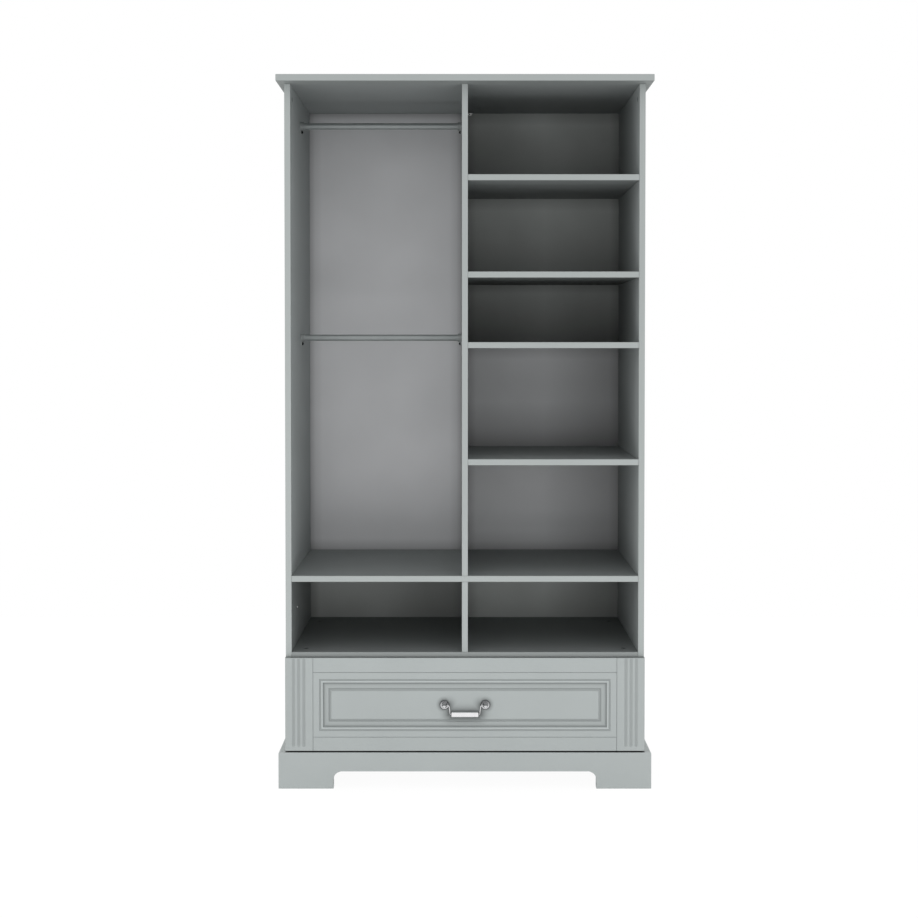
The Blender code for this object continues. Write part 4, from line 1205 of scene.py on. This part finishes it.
shaded_chrome, tree = start_material("shaded_chrome", Metallic=1.0)
post_shading = place_effect(tree, chrome_shade, Post_X=post_x, Post_Z=bail_z, Ball=BALL + BALL_MARGIN)
to_shader("Base Color", blend_colours(post_shading["Painted Dark"], BRIGHT_POST_CHROME, DARK_CHROME))
lines = line_mask(tree, width=0.3 * MM, runs=EVEN)
roughen(lines, lines, smooth=0.10, rough=0.26, depth=0.000003, strength=0.4)
darken_edges(tree, start=0.60, end=0.85)

# %% Effect and materials: the wire and the grip
# The grip's two ends get a painted dark rim of shade.
DARK_RIM = 1.3 * MM

shaded_grip_ends, given, result = start_effect("Dark Ends", {"Half Length": 0.028, "Rim": 0.0012}, ["Dark"])
sideways = maths("ABSOLUTE", axes_in(shaded_grip_ends)["X"])
rim_start = maths("SUBTRACT", given["Half Length"], given["Rim"])
feed(result, "Dark", maths("GREATER_THAN", sideways, rim_start))

grip_chrome = plate_metal("grip_chrome", CHROME, CHROME_DULL, smooth=0.10, rough=0.24)
tree = grip_chrome.node_tree
ends = place_effect(tree, shaded_grip_ends, Half_Length=grip_end, Rim=DARK_RIM)
overlay(ends["Dark"], DARK_CHROME)
darken_edges(tree, start=0.55, end=0.80)
wire_chrome = plate_metal(
    "wire_chrome", (0.78, 0.78, 0.79), (0.68, 0.68, 0.69), smooth=0.12, rough=0.28
)
darken_edges(wire_chrome.node_tree, start=0.15, end=0.45)

# %% Turn the posts
POST_REACH = field_y - bail_y
NECK = 3.4 * MM
RIM_ROUND = 1.5 * MM
RIM_RISE = 1.9 * MM
HOLE_PLAY = 0.45 * MM
HOLE_DEPTH = 4.2 * MM


def make_post(name, node, inward):
    """A rosette with a rolled rim and a dished face, a neck and a ball with the wire's hole."""
    x = middle_of(node)[0]
    rim = [(ROSETTE, 0.0), (ROSETTE, 0.6 * MM)]
    rim += arc((ROSETTE - RIM_ROUND, RIM_RISE), RIM_ROUND, -10, 150, 9)
    dish = in_mm((9.4, 2.0), (8.3, 1.5), (7.2, 1.6), (6.4, 2.2))
    collar = in_mm((5.9, 3.0), (5.2, 3.6), (4.2, 3.9)) + [(NECK, 4.3 * MM)]
    lean = math.degrees(math.acos(NECK / BALL))
    ball = arc((0.0, POST_REACH), BALL, -lean, 90, 18)
    ball[-1] = (0.0, POST_REACH + BALL)
    profile = [(0.0, 0.0), *rim, *dish, *collar, *ball]
    post = turn(profile, (0, -1, 0), (x, field_y, bail_z), sides=64)
    near, deep = x + inward * (BALL + CLEAR), x + inward * (BALL - HOLE_DEPTH)
    hole = push(circle(WIRE + HOLE_PLAY, bail_y, bail_z, sides=32), "X", near, deep)
    set_piece(name, carve(post, hole), shaded_chrome, "drawer", [node])
    return x


left_post_x = make_post("turned_post_left", "handle_post_left", 1)
right_post_x = make_post("turned_post_right", "handle_post_right", -1)
print("the posts stand", round((right_post_x - left_post_x) / MM, 1), "mm apart")

# %% [markdown]
# The wire's path is half drawn and then mirrored. Each bend is a quarter turn, and the legs lean
# in a little on their way down, because the wire is sprung into the posts.

# %% Bend the wire
BEND = 3.6 * MM
HOOK = 3.6 * MM
LEG_TOP = 5.0 * MM
LEG_FOOT = 2.6 * MM


def wire_path():
    """Half of the wire's centre line as (x, z), from the hook in the ball to the grip."""
    upper = (grip_end + LEG_TOP + BEND, -BEND)
    lower = (grip_end + LEG_FOOT - BEND, BEND - (bail_z - grip_z))
    path = [(right_post_x - BALL + HOOK, 0.0)]
    path += [(upper[0] - BEND * math.sin(t), upper[1] + BEND * math.cos(t)) for t in quarter(8)]
    path += [(lower[0] + BEND * math.cos(t), lower[1] - BEND * math.sin(t)) for t in quarter(8)]
    return path


def sweep(path, radius, sides, lift):
    """A round bar along a flat (x, z) path. lift sets its place: (y, z of the path's zero)."""
    rings = []
    for index, (x, z) in enumerate(path):
        before, after = path[max(index - 1, 0)], path[min(index + 1, len(path) - 1)]
        heading = Vector((after[0] - before[0], 0, after[1] - before[1])).normalized()
        side = heading.cross(Vector((0, 1, 0)))
        centre = Vector((x, lift[0], z + lift[1]))
        ring = []
        for t in full_turn(sides):
            away = side * math.cos(t) + Vector((0, 1, 0)) * math.sin(t)
            ring.append(centre + radius * away)
        rings.append(ring)
    return join_rings(rings)


half = wire_path()
whole = half + [(-x, z) for x, z in reversed(half)]
wire = sweep(whole, WIRE, sides=24, lift=(bail_y, bail_z))
set_piece("bent_bail_wire", wire, wire_chrome, "handle", ["handle_bail"])
print("the wire's path has", len(whole), "points")

# %% Turn the grip
BORE_DEPTH = 4 * MM
GRIP_EASE = 1.8 * MM
BORE_PLAY = 0.5 * MM
BORE_RIM = 0.6 * MM


def make_grip():
    """A plain thick sleeve with softly rounded ends, bored for the wire."""
    shoulder = grip_radius - GRIP_EASE
    reach = grip_end - GRIP_EASE
    far = arc((shoulder, reach), GRIP_EASE, 0, 90, 8)
    near = arc((shoulder, -reach), GRIP_EASE, -90, 0, 8)
    bore = WIRE + BORE_PLAY
    rim = [(bore + BORE_RIM, grip_end), (bore, grip_end - BORE_RIM), (bore, grip_end - BORE_DEPTH)]
    other = [(across, -along) for across, along in reversed(rim)]
    start, end = (0.0, -grip_end + BORE_DEPTH), (0.0, grip_end - BORE_DEPTH)
    profile = [start, *other, *near, *far, *rim, end]
    grip = turn(profile, (1, 0, 0), (0, grip_y, grip_z), sides=64)
    set_piece("turned_grip", grip, grip_chrome, "handle", ["handle_grip"])


make_grip()
print("the grip is", round(2 * grip_end / MM, 1), "mm long")

# %% [markdown]
# The posts are held from inside the drawer by two screws with wide, flat-domed heads. They show
# when the drawer stands open.

# %% Screw the posts on from behind
CROSS_TAPER = 0.55


def dome(radius, height, wall=0.18):
    """A low dome as a lathe profile. wall is the straight side's share of its height."""
    rise = [
        (radius * math.cos(t), wall * height + (1 - wall) * height * math.sin(t))
        for t in quarter(7)[1:-1]
    ]
    return [(0.0, 0.0), (radius, 0.0), (radius, wall * height), *rise, (0.0, height)]


def cross_cutter(reach, half_width, depth):
    """The cross-shaped recess for a screwdriver, tapering as it goes down. Made along +Z."""
    arm = [(half_width, half_width), (reach, half_width), (reach, -half_width)]
    outline = []
    for _ in range(4):
        outline += arm
        arm = [(up, -across) for across, up in arm]
    cutter = push(outline, "Z", -depth, CLEAR)
    for vertex in cutter.verts:
        if vertex.co.z < 0:
            vertex.co.x *= CROSS_TAPER
            vertex.co.y *= CROSS_TAPER
    return cutter


def make_screw(name, place, along, finish, body, stands_for=(), *, radius, height):
    """A domed screw head with a cross recess, seated at a place and facing along."""
    head = turn(dome(radius, height), (0, 0, 1), (0, 0, 0), sides=32)
    cross = cross_cutter(reach=0.52 * radius, half_width=0.12 * radius, depth=0.6 * height)
    bmesh.ops.translate(cross, vec=(0, 0, height), verts=cross.verts)
    screw = carve(head, cross)
    aim(screw, along, place)
    set_piece(name, screw, finish, body, stands_for)


for side, x in (("left", left_post_x), ("right", right_post_x)):
    make_screw(
        f"handle_screw_{side}", (x, front_high.y, bail_z), (0, 1, 0), zinc_plate,
        "drawer", radius=4.6 * MM, height=2.2 * MM,
    )
print("handle screws sit behind the drawer front")

# %% [markdown]
# ## Hanging rails
#
# Two satin steel tubes cross the hanging space. A die-cast bracket holds each end: a plate against
# the board with a round socket for the tube, and a foot that one black screw goes through.

# %% Draw the tubes
TUBE_WALL = 1.2 * MM
TUBE_EASE = 0.3 * MM


def make_tube(name, node):
    """A tube with eased ends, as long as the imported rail."""
    low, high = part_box(node)
    radius = (high.z - low.z) / 2
    bore, rim = radius - TUBE_WALL, radius - TUBE_EASE
    profile = [
        (bore, low.x), (rim, low.x), (radius, low.x + TUBE_EASE), (radius, high.x - TUBE_EASE),
        (rim, high.x), (bore, high.x),
    ]
    _, y, z = middle_of(node)
    tube = turn(profile, (1, 0, 0), (0, y, z), sides=72, closed=True)
    set_piece(name, tube, satin_rail, "carcass", [node])
    print("the", name, "is", round((high.x - low.x) / MM, 1), "mm long")


for height in ("upper", "lower"):
    make_tube(f"{height}_hanging_rail", f"{height}_rail")

# %% Cast the brackets
RING_WALL = 3.0 * MM
PLATE = 3.0 * MM
FOOT_HALF = 8.0 * MM
SCREW_DROP = 17.0 * MM
FOOT_ROUND = 3.0 * MM
PLATE_EASE = 0.8 * MM


def bracket_outline(ring_radius, reach, soft):
    """A round head that runs into a straight foot with rounded corners, as (across, up)."""
    lean = math.degrees(math.asin(FOOT_HALF / ring_radius))
    crown = arc((0, 0), ring_radius, -90 - lean, -90 + lean - 360, 40)
    right = arc((FOOT_HALF - soft, -reach + soft), soft, 0, -90, 6)
    left = arc((-FOOT_HALF + soft, -reach + soft), soft, -90, -180, 6)
    return crown + right + left


def make_bracket(node, away):
    """A plate with a socket ring on it, its edges eased as a casting's are."""
    low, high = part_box(node)
    _, axis_y, axis_z = middle_of(node.rsplit("_", 2)[0])
    ring = high.z - axis_z
    back, tip = (low.x, high.x) if away > 0 else (high.x, low.x)
    face = back + away * PLATE
    outline = bracket_outline(ring, axis_z - low.z, FOOT_ROUND)
    plate = push([(axis_y + a, axis_z + b) for a, b in outline], "X", back, face)
    ease_rim(plate, axis=0, level=face, offset=PLATE_EASE, segments=3)
    height = abs(tip - face)
    bore = ring - RING_WALL
    wall = [
        (bore, -1.0 * MM), (ring - 0.9 * MM, -1.0 * MM), (ring - 0.9 * MM, 0.0),
        (ring - 0.1 * MM, height - 0.9 * MM), (ring - 0.35 * MM, height - 0.3 * MM),
        (ring - 0.9 * MM, height), (bore + 0.5 * MM, height), (bore, height - 0.5 * MM),
    ]
    socket = turn(wall, (away, 0, 0), (face, axis_y, axis_z), sides=64, closed=True)
    casting = carve(plate, socket, operation="UNION")
    set_piece(f"cast_{node}", casting, satin_casting, "carcass", [node])
    screw = node.replace("bracket", "screw")
    make_screw(
        f"black_{screw}", (face, axis_y, axis_z - SCREW_DROP), (away, 0, 0), black_screw,
        "carcass", [screw], radius=4.5 * MM, height=5.0 * MM,
    )


for height in ("upper", "lower"):
    for side, away in (("left", 1), ("right", -1)):
        make_bracket(f"{height}_rail_{side}_bracket", away)
print("four brackets hold the rails")

# %% [markdown]
# ## Cam locks and small fittings
#
# A cam lock is a metal disc sunk flush into a hole. Turning the cross in its face pulls the boards
# together. All six get a dark plating, darker than their board. The little cap closes a spare hole
# and stands proud of the wall, where its side catches the light as one bright dot. The white angle
# ties the back to the top board.

# %% Press in the cam locks
CROSS_TURN = 0.6


def make_cam(node, along):
    """A disc with a groove and a cross, flush with the board."""
    low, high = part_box(node)
    facing = Vector(along)
    radius = max(high - low) / 2
    deep = abs((high - low).dot(facing))
    profile = [
        (0.0, -deep), (radius, -deep), (radius, -0.5 * MM), (radius - 0.2 * MM, -0.15 * MM),
        (radius - 0.6 * MM, 0.0), (radius - 1.3 * MM, 0.0), (radius - 1.6 * MM, -0.35 * MM),
        (radius - 2.1 * MM, -0.35 * MM), (radius - 2.4 * MM, 0.0), (0.0, 0.0),
    ]
    disc = turn(profile, (0, 0, 1), (0, 0, 0), sides=48)
    cam = carve(disc, cross_cutter(reach=4.0 * MM, half_width=0.9 * MM, depth=1.6 * MM))
    turned = Matrix.Rotation(CROSS_TURN, 3, "Z")
    bmesh.ops.rotate(cam, cent=(0, 0, 0), matrix=turned, verts=cam.verts)
    aim(cam, along, Vector(middle_of(node)) + facing * (deep / 2))
    set_piece(f"pressed_{node}", cam, dark_plate, "carcass", [node])


make_cam("left_side_panel_cam", (1, 0, 0))
make_cam("right_side_panel_cam", (-1, 0, 0))
for corner in CORNERS:
    make_cam(f"bottom_cam_{corner}", (0, 0, 1))
print("six cam locks are in")

# %% Fit the cap and the angle
CAP_STAND = 2.6 * MM
LEAF = 2.0 * MM
GUSSET_HALF = 0.8 * MM
LEAF_ROUND = 1.2 * MM
LEAF_EASE = 0.6 * MM


def make_cap():
    """A round head with a straight side and a softly domed face."""
    low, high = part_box("wall_cap")
    radius = (high.z - low.z) / 2
    _, y, z = middle_of("wall_cap")
    cap = turn(dome(radius, CAP_STAND, wall=0.6), (1, 0, 0), (-inner_half, y, z), sides=32)
    set_piece("domed_wall_cap", cap, white_fitting, "carcass", ["wall_cap"])


def make_angle():
    """Two thin leaves with a rounded inner corner and a small gusset between them."""
    low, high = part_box("angle_bracket")
    inner_y, inner_z = high.y - LEAF, high.z - LEAF
    corner = arc((inner_y - LEAF_ROUND, inner_z - LEAF_ROUND), LEAF_ROUND, 0, 90, 5)
    outline = [
        (high.y, high.z), (low.y + LEAF_EASE, high.z), (low.y, high.z - LEAF_EASE),
        (low.y, inner_z), *reversed(corner), (inner_y, low.z), (high.y, low.z),
    ]
    leaf = push(outline, "X", low.x, high.x)
    root_y, root_z = high.y - LEAF / 2, high.z - LEAF / 2
    web = [
        (root_y, root_z), (low.y + 3 * MM, root_z), (low.y + 3 * MM, inner_z - 0.2 * MM),
        (inner_y - 0.2 * MM, low.z + 0.8 * MM), (root_y, low.z + 0.8 * MM),
    ]
    middle = (low.x + high.x) / 2
    gusset = push(web, "X", middle - GUSSET_HALF, middle + GUSSET_HALF)
    angle = carve(leaf, gusset, operation="UNION")
    set_piece("moulded_angle", angle, white_fitting, "carcass", ["angle_bracket"])


make_cap()
make_angle()
print("the cap stands out", round(CAP_STAND / MM, 1), "mm, and the angle is in")

# %% [markdown]
# ## Ball bearing slides
#
# Each side of the drawer runs on three nested steel channels: one screwed to the cabinet, one to
# the drawer, and one between them on rows of balls. They are strips of sheet bent lengthwise, so
# the line that the sheet follows is offset to both sides, rounded at its bends and pushed along.

# %% Roll the channels
SHEET = 1.2 * MM
BALL_SIZE = 3.2 * MM
SIDES = (("left", -1), ("right", 1))


def sheet_section(line, thickness):
    """The closed outline of a bent sheet that follows a line of points, its bends rounded."""
    line = [Vector(point) for point in line]
    soft = [line[0]]
    for before, here, after in zip(line, line[1:], line[2:]):
        toward, away = (before - here).normalized(), (after - here).normalized()
        size = min((before - here).length, (after - here).length, 2.4 * thickness) / 2
        start, end = here + toward * size, here + away * size
        for share in (0.0, 0.25, 0.5, 0.75, 1.0):
            bend = start * (1 - share) ** 2 + here * 2 * share * (1 - share) + end * share ** 2
            soft.append(bend)
    soft.append(line[-1])
    left, right = [], []
    for index, point in enumerate(soft):
        before, after = soft[max(index - 1, 0)], soft[min(index + 1, len(soft) - 1)]
        heading = (after - before).normalized()
        normal = Vector((-heading.y, heading.x)) * (thickness / 2)
        left.append(point + normal)
        right.append(point - normal)
    return left + right[::-1]


def roll_channel(member, side, sign, body):
    """One member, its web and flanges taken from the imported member's own box."""
    node = f"slide_{member}_{side}"
    low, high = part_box(node)
    outer, inner = (high.x, low.x) if sign > 0 else (low.x, high.x)
    web, lip = (inner, outer) if member == "inner" else (outer, inner)
    web -= math.copysign(SHEET / 2, web - lip)
    flange = BALL_SIZE if member == "middle" else 0.0
    top, foot = high.z - SHEET / 2 - flange, low.z + SHEET / 2 + flange
    line = [(lip, top), (web, top), (web, foot), (lip, foot)]
    shape = push(sheet_section(line, SHEET), "Y", low.y, high.y)
    set_piece(f"rolled_{node}", shape, zinc_plate, body, [node])


for side, sign in SIDES:
    roll_channel("outer", side, sign, "carcass")
    roll_channel("middle", side, sign, f"slide_middle_{side}")
    roll_channel("inner", side, sign, "drawer")
print("six channels are rolled")

# %% [markdown]
# The balls sit between the channels' flanges in four rows on the middle member, which carries them
# at half the drawer's speed. Three screws hold the inner member to the drawer's side.

# %% Set the balls and the screws of the slides
BALL_PITCH = 9.0 * MM
BALLS_IN_ROW = 14
BALL_INSET = 3.85 * MM


def make_balls(side, sign):
    """Four rows of balls, above and below each flange of the middle member."""
    low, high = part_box(f"slide_middle_{side}")
    x = (low.x if sign < 0 else high.x) - sign * BALL_INSET
    radius = BALL_SIZE / 2
    inward = BALL_SIZE + SHEET + radius
    shape = bmesh.new()
    start = (low.y + high.y) / 2 - BALL_PITCH * (BALLS_IN_ROW - 1) / 2
    for z in (high.z - radius, high.z - inward, low.z + radius, low.z + inward):
        for step in range(BALLS_IN_ROW):
            place = Matrix.Translation((x, start + step * BALL_PITCH, z))
            bmesh.ops.create_uvsphere(
                shape, u_segments=14, v_segments=9, radius=radius, matrix=place
            )
    body = f"slide_middle_{side}"
    set_piece(f"slide_balls_{side}", shape, bright_chrome, body)


def make_slide_screws(side, sign):
    """Three screws through the drawer's member into its side."""
    low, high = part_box(f"slide_inner_{side}")
    seat = (low.x if sign > 0 else high.x) + sign * SHEET
    for number, share in enumerate((0.07, 0.5, 0.9), start=1):
        place = (seat, low.y + share * (high.y - low.y), (low.z + high.z) / 2)
        make_screw(
            f"slide_screw_{side}_{number}", place, (sign, 0, 0), zinc_plate, "drawer",
            radius=3.6 * MM, height=1.6 * MM,
        )


for side, sign in SIDES:
    make_balls(side, sign)
    make_slide_screws(side, sign)
print("each slide has", 4 * BALLS_IN_ROW, "balls")

# %% [markdown]
# ## Underneath and behind
#
# Four glides under the corner blocks carry the wardrobe, each held by a nail in its middle, and
# small nails fix the back panel to the shelves and dividers.

# %% Turn the glides
NAIL_SEAT = 2.4 * MM
SOLE_ROUND = 2.2 * MM
TOP_EASE = 0.5 * MM
SOLE_NAIL = 1.9 * MM
SOLE_NAIL_RISE = 0.9 * MM


def make_glide(node):
    """A disc with a rounded sole and a countersunk middle, where its nail goes through."""
    low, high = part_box(node)
    x, y, _ = middle_of(node)
    radius = (high.x - low.x) / 2
    height = high.z - low.z
    sole = arc((radius - SOLE_ROUND, SOLE_ROUND), SOLE_ROUND, -90, 0, 8)
    profile = [
        (0.0, NAIL_SEAT), (2.0 * MM, NAIL_SEAT), (2.4 * MM, 1.4 * MM), (4.2 * MM, 0.0), *sole,
        (radius, height - TOP_EASE), (radius - TOP_EASE, height), (0.0, height),
    ]
    glide = turn(profile, (0, 0, 1), (x, y, low.z), sides=56)
    set_piece(f"turned_{node}", glide, black_glide, "carcass", [node])
    nail = turn(dome(SOLE_NAIL, SOLE_NAIL_RISE), (0, 0, -1), (x, y, low.z + NAIL_SEAT), sides=20)
    set_piece(f"nail_{node}", nail, zinc_plate, "carcass")


for corner in CORNERS:
    make_glide(f"glide_{corner}")
print("four glides stand on the floor")

# %% Nail the back on
NAIL_STEP = 0.11
NAIL_HEAD = 2.2 * MM
NAIL_RISE = 0.7 * MM
NAIL_MARGIN = 0.03


def nail_row(start, end):
    """Places along a straight line on the back, from (x, z) to (x, z), at an even step."""
    start, end = Vector(start), Vector(end)
    count = max(2, round((end - start).length / NAIL_STEP) + 1)
    return [start + (end - start) * step / (count - 1) for step in range(count)]


heads = []
edge = inner_half - NAIL_MARGIN
for board in ("base_board", "bottom_board", "middle_shelf"):
    z = middle_of(board)[2]
    heads += nail_row((-edge, z), (edge, z))
for board in ("shelf_1", "shelf_2", "shelf_3", "shelf_4"):
    z = middle_of(board)[2]
    heads += nail_row((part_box(board)[0].x + NAIL_MARGIN, z), (edge, z))
divider_low, divider_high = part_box("upper_divider")
heads += nail_row((0.0, divider_low.z + 2 * NAIL_MARGIN), (0.0, divider_high.z - NAIL_MARGIN))
rear_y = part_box("back_panel")[1].y
nails = bmesh.new()
for head in heads:
    nail = turn(dome(NAIL_HEAD, NAIL_RISE), (0, 1, 0), (head.x, rear_y, head.y), sides=14)
    spare = to_mesh("spare", nail)
    nails.from_mesh(spare)
    bpy.data.meshes.remove(spare)
set_piece("back_nails", nails, zinc_plate, "carcass")
print(len(heads), "nails hold the back")

# %% [markdown]
# ## The floor
#
# The photograph has a pure white ground. A pale floor lights the plinth from below as a studio
# floor does. Camera and mirrors see it mostly as plain white, so that only a breath of shadow
# stays under the arch.

# %% Lay the floor
FLOOR_HALF = 2.3
FLOOR_PAINT = (0.88, 0.88, 0.88)
FLOOR_PALE = (0.92, 0.92, 0.92)
WHITE_GLOW = 1.04
WHITE_SHARE = 0.92

floor_white, tree = start_material("floor_white", Roughness=0.9, Specular_IOR_Level=0.0)
patches = cloud_mask(tree, size=0.8, crispness=0.4)
to_shader("Base Color", blend_colours(patches, FLOOR_PAINT, FLOOR_PALE))
share = maths("MULTIPLY", seen_by_eye_or_mirror(tree), WHITE_SHARE)
glow = add_node(tree, "ShaderNodeEmission", Color=(1.0, 1.0, 1.0), Strength=WHITE_GLOW)
mixed = add_node(tree, "ShaderNodeMixShader", Fac=share)
feed(mixed, 1, tree.nodes["Principled BSDF"].outputs["BSDF"])
feed(mixed, 2, glow.outputs["Emission"])
feed(tree.nodes["Material Output"], "Surface", mixed.outputs["Shader"])

ground = bpy.data.meshes.new("studio_floor")
corners = [(-1, -1), (1, -1), (1, 1), (-1, 1)]
ground.from_pydata([(FLOOR_HALF * x, FLOOR_HALF * y, 0) for x, y in corners], [], [(0, 1, 2, 3)])
ground.materials.append(floor_white)
floor = put("studio_floor", ground)
floor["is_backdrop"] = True
print("the floor is", 2 * FLOOR_HALF, "m wide")

# %% [markdown]
# ## Measure and finish
#
# Last, the dressed wardrobe's box is measured and its size printed.

# %% Print the dressed size
import json

low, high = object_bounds()
print("dressed size", [round(1000 * side, 1) for side in high - low], "mm")
